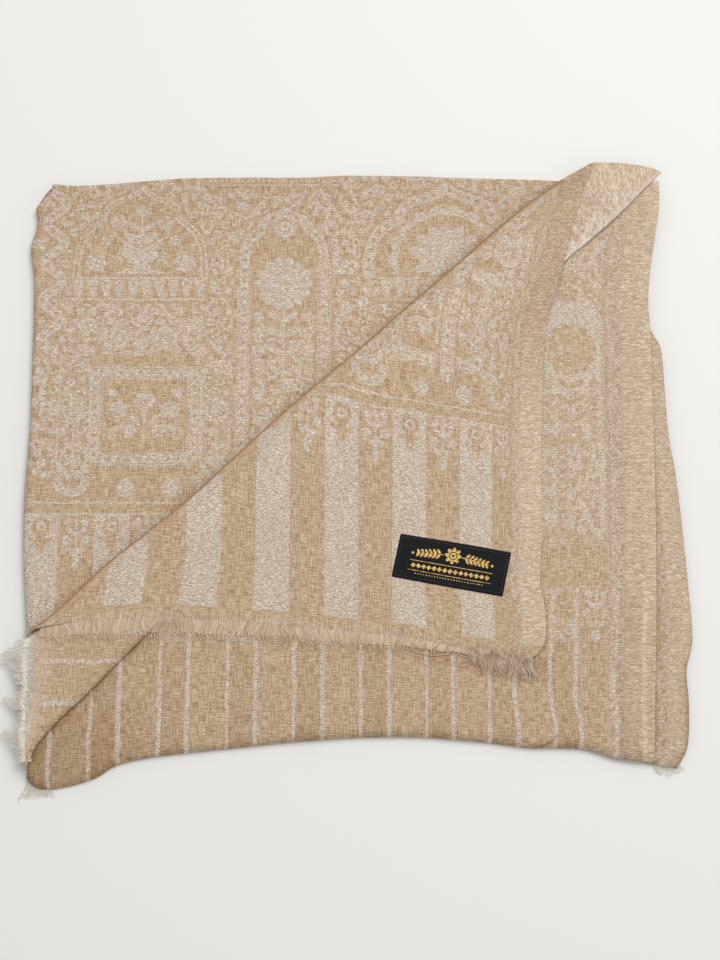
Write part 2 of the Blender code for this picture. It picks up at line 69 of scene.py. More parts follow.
TOP_PLY_EDGE = metres(  # x, y, drop
    (-246, -180, 3), (-248, -150, 3.4), (-248, -115, 4), (-253, -64, 4.8), (-255.2, -16, 5.2),
    (-254, 43, 5.2), (-254.8, 89, 5.2), (-256, 140, 5.5), (-257.8, 172, 5.8), (-261.2, 193, 6.2),
    (-258, 208, 6.6), (-257.2, 218, 7), (-258.8, 227, 7.4), (-253.5, 235.5, 8), (-247.8, 243, 8.4),
    (-247.3, 247.8, 8.4), (-243, 248.6, 8.4), (-228.5, 247.4, 8.4), (-203, 248.6, 8.4),
    (-144, 253.6, 8.4), (-96, 254.5, 8.4), (-48, 254.5, 8.4), (-16, 256.2, 8.4), (16, 256.2, 8.4),
    (48, 255.6, 8.4), (80, 254.2, 8.4), (128, 252.8, 8.4), (157, 251.5, 8), (215, 247.5, 7.4),
)
# The two diagonal folds, from their near left ends to their far right ones
TURN = metres(  # x, y
    (-242, -216), (-236, -202), (-226, -189), (-214, -176.5), (-201, -164), (-177, -138.5),
    (-150, -111), (-30, -2), (100, 120), (157.5, 176), (192, 206.5), (211, 225), (230, 245),
    (240.8, 255.6),
)
CREST = metres(  # x, y
    (-244, -117), (-224, -101), (-187, -64), (-158, -40), (-130, -16), (-103, 10), (-46, 65),
    (-5, 101), (37, 140), (71, 171), (118, 214), (157, 245), (185, 262),
)
# The flap's fringed end from the crest to its corner, and its selvedge from there to the crest
FLAP_END = metres(  # x, y
    (-244, -117), (-230, -113.2), (-200, -108.8), (-175, -107), (-120.4, -107.8), (-67, -110.8),
    (-15, -115.8), (30, -120.5), (48, -124), (81.3, -130.5), (100, -133.8), (118, -136.8),
    (127, -136.2),
)
FLAP_SELVEDGE = metres(  # x, y
    (127, -136.2), (131.5, -133.5), (137, -123), (137.5, -100), (134.5, -79), (137, -42),
    (138.5, 20), (141, 79), (145, 125), (153, 153), (160, 177), (172, 221), (185, 262),
)
# The sides of the inner and the lower ply, each from left to right or from near to far
INNER_NEAR = metres(  # x, y, drop, reach
    (-242, -225, 6.8, 14), (-234, -231, 7.1, 24), (-220, -231, 7.2, 28), (-194, -224, 7.2, 22),
    (-177, -214, 7.2, 14), (-149, -208, 7.2, 11), (-95, -202, 7.2, 10), (-45, -197, 7.2, 10),
    (0, -194, 7.2, 10), (47, -194, 7.2, 10), (95, -198, 7.2, 10), (123, -201.5, 7.2, 10),
    (162, -202.5, 7, 10), (188, -209.5, 3.6, 18), (214, -212.5, 3.2, 22),
)
INNER_RIGHT = metres(  # x, y, drop, reach
    (214, -212.5, 0, 10), (216.5, -168, 0, 10), (219, -130, 0, 10), (221.5, -84, 0, 10),
    (223.5, -30, 0, 10), (225, 30, 0, 10), (226, 90, 0, 10), (226.5, 122, 0, 10),
    (226, 147, 0, 10), (229, 174, 0, 10), (234.5, 205, 0, 10), (238.5, 228, 0, 10),
    (239.2, 249, 0, 10),
)
INNER_FAR = metres((-240, 231), (-200, 237), (200, 241), (239.2, 249))  # x, y
INNER_LEFT = metres((-242, -225), (-240, -190), (-240, 0), (-240, 231))  # x, y
LOWER_NEAR = metres(  # x, y, drop, reach
    (-232, -196, 0, 10), (-150, -195, 0, 10), (-50, -185, 0, 10), (50, -183, 0, 10),
    (150, -190.5, 0, 10), (180, -196.5, 1, 12), (196, -206, 4.4, 16), (212, -213, 4.9, 18),
    (230.8, -216.5, 5, 20),
)
LOWER_RIGHT = metres(  # x, y, drop, reach
    (230.8, -216.5, 5, 16), (239.4, -201, 4.6, 16), (242, -169, 3.4, 18), (241.5, -145, 3, 18),
    (247, -122, 3, 20), (246, -80, 2.8, 18), (244, -40, 2.6, 16), (241, 5, 2.2, 14),
    (237, 37, 1.6, 10), (235.5, 81, 0.8, 8), (234, 108, 0, 8), (227, 123.5, 0, 8),
    (224.5, 147, 0, 8), (225, 174, 0, 8), (232, 220, 0, 8), (232, 238, 0, 8),
)
LOWER_FAR = metres((-239, 230), (-200, 236), (232, 238))  # x, y
LOWER_LEFT = metres((-232, -196), (-239, 0), (-239, 230))  # x, y
# How an edge comes down: the share of its reach in from it, and the share of its drop there
SAG = [(0, 1), (0.04, 0.62), (0.14, 0.33), (0.32, 0.12), (0.6, 0.02), (1, 0)]
EDGE_REACH = 0.0100
# Two short folds in the inner ply's near edge, drawn only as painted shade lines
LOBE_FOLD = metres((-233, -210), (-220, -211.8), (-207, -211.7), (-186, -210))  # x, y
TUCK_FOLD = metres((143.5, -193), (140.5, -197), (134, -200), (121, -202.2))  # x, y
FLAP_RISE = metres(  # in from the turn, rise
    (-30, 0), (-20, 0.5), (-11, 2), (-4, 3.9), (0, 4.4), (5, 4.3), (9, 3.6), (14, 2.6),
)
STRIP_RISE = metres((0, 1.5), (5, 1.3), (9, 0.6), (14, 0))  # in from the turn, rise
# How far the strip's far end bows out, in metres, at a share of the strip's width
STRIP_BOW = [(0, 0), (0.12, 0.0025), (0.3, 0.0044), (0.6, 0.0048), (1, 0.003)]
# How much of the crest's rise is left, as a share, at a distance from it in metres
CREST_FALL = [(0.002, 1), (0.005, 0.93), (0.01, 0.55), (0.017, 0)]
TURN_RADIUS = 0.0014
CREST_RADIUS_NEAR = 0.0016
CREST_RADIUS_FAR = 0.0030
LIP = 0.0060
SWELLS = [  # x, y, length, width, angle, height
    (-205, 190, 50, 18, 60, 1.2), (-125, 120, 70, 22, 20, 1), (-15, 202, 75, 18, 5, 1.1),
    (-210, 45, 60, 20, 85, 1), (80, 220, 50, 16, 30, 0.9),
]
STACK_OUTLINE = metres(  # x, y
    (-230, -190), (-237, -180), (-238, -120), (-240, 0), (-244, 140), (-247, 215), (-242, 235),
    (-225, 240), (0, 244), (205, 239), (223, 233), (222, 210), (217, 150), (224, 30), (229, -80),
    (226, -175), (217, -193), (200, -196), (50, -181), (-50, -183),
)

# Lines


def smooth(table, fineness=8, closed=False):
    """A fine line through a table's rows, rounded between them, with all of their columns."""
    p = [*np.array(table, float)]
    p = [p[-1], *p, p[0], p[1]] if closed else [p[0] * 2 - p[1], *p, p[-1] * 2 - p[-2]]
    gaps = [np.hypot(*(b - a)[:2]) for a, b in zip(p, p[1:])]
    fine = []
    for i in range(1, len(p) - 2):
        a, b, gap = p[i], p[i + 1], gaps[i]
        leaving = (b - p[i - 1]) * gap / (gaps[i - 1] + gap)
        arriving = (p[i + 2] - a) * gap / (gap + gaps[i + 1])
        for t in np.arange(fineness) / fineness:
            bend = (2 * t - 3) * t * t
            between = a * (1 + bend) - b * bend
            fine.append(between + leaving * t * (1 - t) ** 2 - arriving * t * t * (1 - t))
    return np.array(fine if closed else [*fine, p[-2]])


def spread(line, shares):
    """The points of a line at shares of its length."""
    steps = np.hypot(*np.diff(line[:, :2], axis=0).T)
    lengths = np.concatenate([[0.0], np.cumsum(steps)])
    at = np.asarray(shares) * lengths[-1]
    return np.stack([np.interp(at, lengths, column) for column in line.T], -1)


def share_near(line, place):
    """The share of its length at which a line passes nearest to a place."""
    shares = np.linspace(0, 1, 4001)
    return shares[np.hypot(*(spread(line, shares)[:, :2] - place).T).argmin()]


def tangents(line):
    """Directions of one length along a line, in the plane."""
    along = np.gradient(line[:, :2], axis=0)
    return along / np.hypot(*along.T)[:, None]


def left_of(along):
    """Directions a quarter turn to the left of others."""
    return np.stack([-along[:, 1], along[:, 0]], -1)


def ease(low, high, value):
    """A soft step from 0 at the low value to 1 at the high one."""
    share = np.clip((value - low) / (high - low), 0, 1)
    return share * share * (3 - 2 * share)


def read(table, at):
    """The second column of a table at values of the first, rounded between its rows."""
    fine = smooth(table)
    return np.interp(at, fine[:, 0], fine[:, 1])


def nearest(line, points):
    """For points: distance to a line, positive on its left, and the line's columns there."""
    found = np.full(len(points), np.inf)
    columns = np.zeros((len(points), line.shape[1]))
    for a, b in zip(line, line[1:]):
        along = (b - a)[:2]
        off = points - a[:2]
        share = np.clip(off @ along / (along @ along), 0, 1)
        away = off - share[:, None] * along
        distance = np.hypot(*away.T)
        side = np.sign(along[0] * away[:, 1] - along[1] * away[:, 0])
        closer = distance < np.abs(found)
        found = np.where(closer, np.where(side < 0, -distance, distance), found)
        columns[closer] = (a + share[:, None] * (b - a))[closer]
    return found, columns


def value_noise(x, y, seed):
    """Smooth noise from -1 to 1 that changes over one unit of x and of y."""
    table = np.random.default_rng(seed).uniform(-1, 1, (256, 256))
    i, j = np.floor(x).astype(int), np.floor(y).astype(int)
    s, t = x - i, y - j
    s, t = s * s * (3 - 2 * s), t * t * (3 - 2 * t)
    low = table[j % 256, i % 256] * (1 - s) + table[j % 256, (i + 1) % 256] * s
    high = table[(j + 1) % 256, i % 256] * (1 - s) + table[(j + 1) % 256, (i + 1) % 256] * s
    return low * (1 - t) + high * t


def line_noise(x, seed):
    """The same along a line."""
    return value_noise(x, x * 0, seed)


TURN_LINE = smooth(TURN)
CREST_LINE = smooth(CREST)
FLAP_END_LINE = smooth(FLAP_END)
FLAP_SIDE_LINE = smooth(FLAP_SELVEDGE)
INNER_RIGHT_LINE = smooth(INNER_RIGHT)
LOWER_RIGHT_LINE = smooth(LOWER_RIGHT)


def flap_height(points):
    """The flap's solid over points in the plane, without the crest's rise."""
    return TOP_Z + read(FLAP_RISE, nearest(TURN_LINE, points)[0])


def swell(points):
    """The top ply's low swellings, which die out beside the crest."""
    height = np.zeros(len(points))
    for x, y, length, width, angle, rise in SWELLS:
        turn = math.radians(angle)
        off = points * 1000 - (x, y)
        along = off @ (math.cos(turn), math.sin(turn))
        across = off @ (-math.sin(turn), math.cos(turn))
        height += rise / 1000 * np.exp(-((along / length) ** 2) - (across / width) ** 2)
    return height * ease(0.012, 0.040, nearest(CREST_LINE, points)[0])


# The chart of the weave, in millimetres: u across the cloth, v up from its fringed end

STRIPE = 53.3  # repeat of the stripes
STRIPE_AT = 66.5  # middle of one off-white stripe
STRIPE_HALF = 13.2
STRIPE_FOOT = 10.0
BORDER = 180.0  # middle of the plain border between two off-white lines
BORDER_HALF = 4.4
LAST_STRIPE = STRIPE_AT + 7 * STRIPE
LACE = (478.0, 488.5)  # crinkled floats beside the selvedge
SELVEDGE = (488.5, 512.0)
CHART_WIDTH = 516.0
CHART_HEIGHT = 520.0
CHART_PITCH = 0.5


class Chart:
    """How much off-white float shows at each place of the cloth, from 0 to 1."""

    def __init__(self, width, height, pitch, soft=0.8):
        self.pitch = pitch
        self.soft = soft
        self.ink = np.zeros((int(height / pitch), int(width / pitch)))

    def lay(self, box, distance, cut=False, weight=1.0):
        """Adds or cuts a shape from its box and its distance function, which is negative inside."""
        u0, u1, v0, v1 = (int(round(side / self.pitch)) for side in box)
        j0, j1 = max(u0, 0), min(u1, self.ink.shape[1])
        i0, i1 = max(v0, 0), min(v1, self.ink.shape[0])
        if j0 >= j1 or i0 >= i1:
            return
        v, u = np.mgrid[i0:i1, j0:j1] * self.pitch
        cover = np.clip(0.5 - distance(u, v) / self.soft, 0, 1) * weight
        part = self.ink[i0:i1, j0:j1]
        part[:] = np.minimum(part, 1 - cover) if cut else np.maximum(part, cover)

    def around(self, u, v, reach, distance, **how):
        """Lays a shape that goes no further than a reach from a place."""
        r = reach + 1
        self.lay((u - r, u + r, v - r, v + r), distance, **how)

    def disc(self, u, v, radius, **how):
        """A filled circle."""
        self.around(u, v, radius, lambda a, b: np.hypot(a - u, b - v) - radius, **how)

    def ring(self, u, v, radius, width, **how):
        """A circle's line."""

        def distance(a, b):
            return np.abs(np.hypot(a - u, b - v) - radius) - width / 2

        self.around(u, v, radius + width, distance, **how)

    def leaf(self, u, v, length, width, angle, **how):
        """A pointed leaf from (u, v) outwards at an angle in degrees."""
        c, s = math.cos(math.radians(angle)), math.sin(math.radians(angle))
        mu, mv = u + c * length / 2, v + s * length / 2

        def distance(a, b):
            x = (a - mu) * c + (b - mv) * s
            y = (b - mv) * c - (a - mu) * s
            share = np.clip(2 * np.abs(x) / length, 0, 1.2)
            return np.maximum(np.abs(y) - width / 2 * (1 - share**2), np.abs(x) - length / 2)

        self.around(mu, mv, length / 2, distance, **how)

    def flower(self, u, v, radius, petals, deep=0.35, turn=0.0, **how):
        """A round flower with scalloped petals."""

        def distance(a, b):
            angle = np.arctan2(b - v, a - u) + math.radians(turn)
            rim = radius * (1 - deep + deep * np.abs(np.cos(petals * angle / 2)))
            return np.hypot(a - u, b - v) - rim

        self.around(u, v, radius, distance, **how)

    def stroke(self, points, width, **how):
        """A line of even width through points."""
        for (ua, va), (ub, vb) in zip(points, points[1:]):
            r = width / 2 + 1
            box = (min(ua, ub) - r, max(ua, ub) + r, min(va, vb) - r, max(va, vb) + r)

            def distance(a, b, ua=ua, va=va, ub=ub, vb=vb):
                du, dv = ub - ua, vb - va
                share = ((a - ua) * du + (b - va) * dv) / max(du * du + dv * dv, 1e-9)
                share = np.clip(share, 0, 1)
                return np.hypot(a - ua - share * du, b - va - share * dv) - width / 2

            self.lay(box, distance, **how)

    def box(self, u0, u1, v0, v1, **how):
        """A rectangle from its four sides."""

        def distance(a, b):
            du = np.maximum(u0 - a, a - u1)
            dv = np.maximum(v0 - b, b - v1)
            return np.maximum(du, dv)

        self.lay((u0 - 1, u1 + 1, v0 - 1, v1 + 1), distance, **how)

    def read(self, u, v):
        """The chart between its threads at arrays of places."""
        x = np.clip(u / self.pitch, 0, self.ink.shape[1] - 1.001)
        y = np.clip(v / self.pitch, 0, self.ink.shape[0] - 1.001)
        j, i = x.astype(int), y.astype(int)
        s, t = x - j, y - i
        low = self.ink[i, j] * (1 - s) + self.ink[i, j + 1] * s
        high = self.ink[i + 1, j] * (1 - s) + self.ink[i + 1, j + 1] * s
        return low * (1 - t) + high * t


def bead_line(chart, points, half=3.7, hole=1.75, pitch=7.4):
    """A ribbon along a line, with a row of round holes in it."""
    line = np.array(points, float)
    chart.stroke(points, 2 * half)
    length = np.hypot(*np.diff(line, axis=0).T).sum()
    count = max(1, round(length / pitch))
    for u, v in spread(line, (np.arange(count) + 0.5) / count):
        chart.disc(u, v, hole, cut=True)


def bead_bar(chart, u0, v0, u1, v1, half=4.6):
    """A level or upright ribbon of beads with a fine line beside each of its edges."""
    bead_line(chart, [(u0, v0), (u1, v1)], half=half - 1.6)
    for side in (-half, half):
        du, dv = (0, side) if v0 == v1 else (side, 0)
        chart.stroke([(u0 + du, v0 + dv), (u1 + du, v1 + dv)], 1.2)


def leaf_pair(chart, u, v, length, width, angle, off=0.0, **how):
    """Two mirrored leaves that point away from u, each from a distance off it."""
    for side in BOTH:
        chart.leaf(u + side * off, v, length, width, angle if side > 0 else 180 - angle, **how)


def veins(chart, u, v, petals, low, high, width, turn=0.0):
    """Lines cut between the petals of a flower, from one radius to another."""
    for k in range(petals):
        angle = 2 * math.pi * (k + 0.5) / petals - math.radians(turn)
        a, b = math.cos(angle), math.sin(angle)
        line = [(u + a * low, v + b * low), (u + a * high, v + b * high)]
        chart.stroke(line, width, cut=True, weight=0.8)


def rosette(chart, u, v, radius, petals=8):
    """A round flower with veins between its petals."""
    chart.flower(u, v, radius, petals, deep=0.22)
    chart.ring(u, v, radius * 0.50, 0.9, cut=True, weight=0.8)
    veins(chart, u, v, petals, radius * 0.6, radius, 0.7)
    chart.disc(u, v, radius * 0.16, cut=True)


def dahlia(chart, u, v, radius):
    """A large flower of three rings of petals."""
    for share, petals, turn in ((1.0, 14, 0), (0.70, 11, 9), (0.42, 8, 0)):
        rim = radius * share
        chart.flower(u, v, rim + 1.2, petals, deep=0.10, turn=turn, cut=True, weight=0.7)
        chart.flower(u, v, rim, petals, deep=0.16, turn=turn)
        veins(chart, u, v, petals, rim * 0.66, rim * 0.98, 0.8, turn)
    chart.disc(u, v, radius * 0.13, cut=True)


def lotus(chart, u, v, size):
    """A wide flower seen from its side: three tiers of pointed petals over four leaves."""
    for reach, width, petals in ((1.0, 0.40, 7), (0.74, 0.34, 5), (0.5, 0.28, 3)):
        for k in range(petals):
            angle = 90 + (k - (petals - 1) / 2) * (168 / petals)
            chart.leaf(u, v, size * reach + 1.6, size * width + 1.4, angle, cut=True, weight=0.8)
            chart.leaf(u, v, size * reach, size * width, angle)
    leaf_pair(chart, u, v - size * 0.05, size * 0.9, size * 0.28, -14)
    leaf_pair(chart, u, v - size * 0.12, size * 0.7, size * 0.24, -44)


def bud(chart, u, v, size, angle=90.0):
    """A bud of three petals over two sepals, pointing at an angle."""
    chart.leaf(u, v, size * 1.5, size * 0.8, angle)
    chart.leaf(u, v, size * 1.1, size * 0.5, angle + 32)
    chart.leaf(u, v, size * 1.1, size * 0.5, angle - 32)


def arc(u, v, radius, start, end, squash=1.0, count=14):
    """Points of an arc round (u, v), in degrees."""
    angles = np.radians(np.linspace(start, end, count))
    return [(u + radius * math.cos(a), v + radius * squash * math.sin(a)) for a in angles]


def scroll(chart, u, v, size, side, turns=1.2, width=1.2):
    """A curl that winds in to (u, v)."""
    angles = np.linspace(0, 2 * math.pi * turns, 18)
    radii = size * (1 - 0.82 * angles / angles[-1])
    points = [(u + side * r * math.cos(a), v + r * math.sin(a)) for a, r in zip(angles, radii)]
    chart.stroke(points, width)
    chart.disc(u, v, width * 0.9)


def paisley(chart, u, v, size, side):
    """A drop with a bent tip: an outline, a row of dots round it and a flower within."""
    outline = []
    for t in np.linspace(0, 1, 26):
        angle = math.radians(-200 + 330 * t)
        radius = size * (0.62 - 0.20 * t)
        outline.append((u + side * radius * math.cos(angle), v + radius * math.sin(angle)))
    for a, b in ((0.10, 1.02), (0.46, 1.12), (0.56, 0.86)):
        outline.append((u + side * size * a, v + size * b))
    chart.stroke(outline, 2.2)
    for place in outline[:-3:2]:
        du, dv = place[0] - u, place[1] - v
        chart.disc(u + du * 1.30, v + dv * 1.30, 1.5)
    rosette(chart, u, v - size * 0.05, size * 0.36, 6)


def vase(chart, u, v, size):
    """A stepped foot and a bowl, with leaves and curls that rise from it; v is its foot."""
    for rise, half in ((0.0, 1.05), (0.14, 0.75), (0.28, 0.45)):
        chart.box(u - size * half, u + size * half, v + size * rise, v + size * (rise + 0.11))
    chart.leaf(u, v + size * 0.3, size * 0.9, size * 0.5, 90)
    chart.leaf(u - size * 0.6, v + size * 0.62, size * 1.2, size * 0.42, 0)
    leaf_pair(chart, u, v + size * 0.62, size * 1.0, size * 0.32, 52)
    leaf_pair(chart, u, v + size * 0.62, size * 0.9, size * 0.28, 20)
    for side in BOTH:
        scroll(chart, u + side * size * 0.85, v + size * 0.75, size * 0.26, side)


OGEE = [  # across, up
    (1, 0), (0.99, 0.2), (0.95, 0.35), (0.86, 0.49), (0.72, 0.58), (0.6, 0.63), (0.58, 0.71),
    (0.54, 0.78), (0.44, 0.84), (0.22, 0.9), (0.08, 0.95), (0, 1.02),
]


def arch_line(u, v, half, height, side):
    """One side of a pointed, cusped arch from its foot to its top."""
    return [(u + side * half * a, v + height * b) for a, b in OGEE]


def niche_flowers(chart, u, v, half, height):
    """A vase of flowers for a niche."""
    vase(chart, u, v + 2, 19)
    chart.stroke([(u, v + 14), (u, v + height * 0.66)], 1.8)
    for share, size in ((0.36, 9.0), (0.50, 7.0)):
        leaf_pair(chart, u, v + height * share, size * 1.9, size * 0.7, 34)
        leaf_pair(chart, u, v + height * share - 4, size * 1.4, size * 0.6, -12)
    bud(chart, u, v + height * 0.66, 8)
    for side in BOTH:
        out = side * half
        rosette(chart, u + out * 0.68, v + height * 0.15, 8.5)
        chart.stroke(arc(u + out * 0.44, v + height * 0.27, half * 0.20, 0, 180, 1.3), 1.2)
        rosette(chart, u + out * 0.36, v + height * 0.60, 6.8, 6)
        rosette(chart, u + out * 0.52, v + height * 0.40, 4.8, 5)
        bud(chart, u + out * 0.80, v + height * 0.30, 5, 90 - side * 20)
    leaf_pair(chart, u, v + height * 0.30, 10, 3.6, 66, off=half * 0.20)


def tall_flower(chart, u, v, half, height, flower):
    """For a narrow arch: a small flower over a large one on its stem."""
    rosette(chart, u, v + height * 0.71, 10.3)
    middle = v + height * 0.60 - 21 - flower
    dahlia(chart, u, middle, flower)
    foot = middle - flower
    chart.stroke([(u, foot), (u, foot - 60)], 1.8)
    for drop, size in ((4, 10), (17, 11), (32, 12), (48, 10)):
        leaf_pair(chart, u, foot - drop - 6, size * 1.5, size * 0.5, 34)
        for side in BOTH:
            rosette(chart, u + side * half * 0.62, foot - drop - 2, size * 0.46, 5)


def base_band(chart, u0, u1, v, height):
    """Two lines with a row of hanging steps between them."""
    for level in (v, v + height):
        chart.stroke([(u0, level), (u1, level)], 1.7)
    count = round((u1 - u0) / 10.3)
    for k in range(count):
        u = u0 + (k + 0.5) * (u1 - u0) / count
        for step, half in ((0.0, 4.2), (0.33, 3.2), (0.66, 2.0)):
            top = v + height - 1.8 - step * (height - 4)
            chart.box(u - half, u + half, top - (height - 4) / 3, top)
        chart.disc(u, v + height - 4.6, 1.1, cut=True)


def cartouche(chart, u0, u1, v0, v1):
    """A beaded frame round a bunch of flowers."""
    for level in (v0, v1):
        bead_bar(chart, u0, level, u1, level)
    for post in (u0, u1):
        bead_bar(chart, post, v0, post, v1)
    u, v = (u0 + u1) / 2, (v0 + v1) / 2
    wide = (u1 - u0) / 80
    for side in BOTH:
        out = side * wide
        rosette(chart, u + out * 21, v + 5, 7.5)
        rosette(chart, u + out * 12, v - 12, 5.8, 6)
        chart.stroke(arc(u + out * 10, v - 2, 11 * wide, 200, -20), 1.2)
        bud(chart, u + out * 24, v + 15, 6, 90 - side * 30)
        scroll(chart, u + out * 27, v - 17, 4.6, side)
    leaf_pair(chart, u, v - 8, 15 * wide, 5.0, 48, off=3)
    leaf_pair(chart, u, v - 7, 12, 4.6, -24, off=16 * wide)
    rosette(chart, u, v + 12, 8.5, 8)
    chart.stroke([(u, v + 4), (u, v - 22)], 1.6)


def urn_panel(chart, u, v0, v1):
    """A narrow upright panel with a tall paisley in a round-footed frame."""
    for side in (-12, 12):
        chart.stroke([(u + side, v0 + 10), (u + side, v1)], 1.6)
    chart.stroke(arc(u, v0 + 10, 10, 180, 360), 4.0)
    bead_line(chart, arc(u, v1 - 4, 12, 0, 180), half=2.6, hole=1.2, pitch=6.2)
    paisley(chart, u, v1 - 30, 14, 1)
    chart.stroke([(u, v1 - 44), (u, v0 + 6)], 1.8)
    for rise in (12, 22):
        leaf_pair(chart, u, v0 + rise, 9, 4.0, 40)


def pendant(chart, u):
    """The hanging flower below the border in a plain stripe."""
    top = BORDER - BORDER_HALF - 2
    for off, radius in ((0, 2.4), (6.4, 3.0), (-6.4, 3.0)):
        chart.disc(u + off, top - 4, radius)
    chart.stroke([(u, top), (u, top - 38)], 1.5)
    for drop, *leaf in ((15, 11.0, 4.0, 42), (29, 9.5, 3.8, 30), (24, 6.6, 2.8, -35)):
        leaf_pair(chart, u, top - drop, *leaf)
    for side in BOTH:
        chart.flower(u + side * 7.2, top - 18.5, 4.2, 5)
    chart.leaf(u, top - 28, 15, 6.0, 270)


def goblet(chart, u):
    """The plain motif cut into the head of an off-white stripe."""
    top = BORDER - BORDER_HALF - 2
    chart.disc(u, top - 8, 7.4, cut=True)
    chart.leaf(u, top - 10, 20, 8.0, 270, cut=True)
    chart.ring(u, top - 8, 3.0, 2.2)
    leaf_pair(chart, u, top - 20, 7.5, 3.0, 30, off=3.4, cut=True)
    for side in BOTH:
        chart.disc(u + side * 10.2, top - 4, 1.3, cut=True)


def sprigs(chart, low, high):
    """Small flowers, buds, curls and leaves in staggered rows between two levels."""
    pitch = 9.6
    for row, v in enumerate(np.arange(low, high, pitch * 0.86)):
        for u in np.arange(2.0 + (row % 2) * pitch / 2, LACE[0], pitch):
            a = u + rng.uniform(-1.0, 1.0)
            b = v + rng.uniform(-1.0, 1.0)
            kind = rng.integers(0, 7)
            angle = rng.uniform(0, 360)
            if kind < 2:
                chart.flower(a, b, 4.0, 5, turn=angle, deep=0.28)
                chart.disc(a, b, 0.9, cut=True)
            elif kind == 2:
                bud(chart, a, b - 3, 5.0, 60 + angle / 6)
            elif kind == 3:
                chart.ring(a, b, 2.7, 1.6)
            elif kind == 4:
                scroll(chart, a, b, 4.0, 1 if angle > 180 else -1, 1.0, 1.5)
            else:
                for bend in (0, 70, -70):
                    chart.leaf(a, b, 7.6, 3.4, angle + bend)


def bare_arch(chart, u, v, half, height):
    """Takes away all that lies within an arch."""
    across, up = np.array(OGEE).T
    for share in np.linspace(0.02, 1, 40):
        out = np.interp(share, up, across) * half
        level = v + share * height
        chart.box(u - out, u + out, level - 1.5, level + 1.5, cut=True)


# The field's arches: middle, foot, half width, height
VASE_ARCH = (80.5, 370.0, 52.5, 77.0)
LOTUS_ARCH = (322.0, 372.0, 62.0, 74.0)
TALL_ARCHES = [(194.0, 380.0, 31.5, 46.0), (446.0, 380.0, 31.5, 46.0)]
CARTOUCHES = [(50.0, 126.0), (262.0, 338.0), (374.0, 438.0)]  # left, right
CARTOUCHE_LEVELS = (219.0, 289.0)
PAISLEY_PAIRS = (83.0, 322.0)


def field_outlines(chart):
    """The arches, ribbons of beads and bands, which keep plain ground beside them."""
    middle, foot, half, height = VASE_ARCH
    for u in (middle, LOTUS_ARCH[0]):
        base_band(chart, u - 53, u + 53, 350.5, 18.0)
    for side in BOTH:
        for grow in (1.0, 0.92):
            inner = (middle, foot, half * grow, height * (0.5 + grow / 2))
            chart.stroke(arch_line(*inner, side), 1.8)
        bead_line(chart, arch_line(*LOTUS_ARCH, side), half=4.4, hole=2.0, pitch=8.6)
    for arch in TALL_ARCHES:
        for side in BOTH:
            post = arch[0] + side * arch[2]
            bead_bar(chart, post, 206.0, post, 378.0)
            bead_line(chart, arch_line(*arch, side), half=4.0, hole=1.9, pitch=8.2)
    for level in (449.0, 457.0):
        chart.stroke([(132.0, level), (236.0, level)], 1.3)
    for u in np.arange(134.0, 236.0, 4.3):
        chart.box(u - 1.2, u + 1.2, 451.5, 454.5)
    swing = [(12.5 + 7.5 * math.sin(v * 0.19 + 1.1), v) for v in np.arange(298.0, 446.0, 4.0)]
    bead_line(chart, swing, half=3.9, hole=1.9, pitch=8.4)


def field_figures(chart):
    """The large figures of the field, row above row."""
    for u in np.arange(34.0, LACE[0], 2 * STRIPE):
        bead_line(chart, arc(u, 203.0, 11.0, 180, 360), half=3.2, hole=1.4, pitch=6.4)
        for off in (41, 75):
            chart.leaf(u + off, BORDER + BORDER_HALF + 3, 17.0, 13.0, 90)
    for u0, u1 in CARTOUCHES:
        cartouche(chart, u0, u1, *CARTOUCHE_LEVELS)
    for u in (34.0, 144.0, 353.5):
        urn_panel(chart, u, 205.0, CARTOUCHE_LEVELS[1])
    for u in PAISLEY_PAIRS:
        for side in BOTH:
            paisley(chart, u + side * 19, 318.0, 14.0, -side)
            rosette(chart, u + side * 42, 328.0, 8.0)
            rosette(chart, u + side * 44, 308.0, 6.0, 6)
        bud(chart, u, 330.0, 8)
        rosette(chart, u, 312.0, 6.5, 6)
    middle, foot, half, height = VASE_ARCH
    niche_flowers(chart, middle, foot, half - 1.5, height)
    u, v = LOTUS_ARCH[0], 384.0
    chart.flower(u, v, 47.0, 18, deep=0.10)
    chart.disc(u, v, 38.5, cut=True)
    chart.box(u - 52, u + 52, 330.0, 372.0, cut=True)
    lotus(chart, u, v, 33.0)
    for arch in TALL_ARCHES:
        tall_flower(chart, *arch, 22.5)
    for u in np.arange(22.0, LACE[0], 44.0):
        rosette(chart, u, 468.0, 9.0)
        bud(chart, u + 22, 460.0, 9)


def bare_places(chart):
    """Clears the ground that stays plain round the large figures."""
    low, high = CARTOUCHE_LEVELS
    chart.box(0, LACE[0], BORDER + BORDER_HALF, 204.0, cut=True)
    for u0, u1 in CARTOUCHES:
        chart.box(u0, u1, low, high, cut=True)
        chart.box(u0 - 4, u1 + 4, low - 14, low - 7, cut=True)
        chart.box(u0 + 1, u1 - 1, high + 7, high + 14, cut=True)
    for u in PAISLEY_PAIRS:
        chart.box(u - 53, u + 53, 348.0, 369.0, cut=True)
    for arch in (VASE_ARCH, LOTUS_ARCH, *TALL_ARCHES):
        bare_arch(chart, *arch)
    for u, foot, half, _ in TALL_ARCHES:
        for post in (u - half, u + half):
            chart.box(post - 8, post + 8, 206.0, foot, cut=True)
        chart.box(u - 24, u + 24, 330.0, 396.0, cut=True)


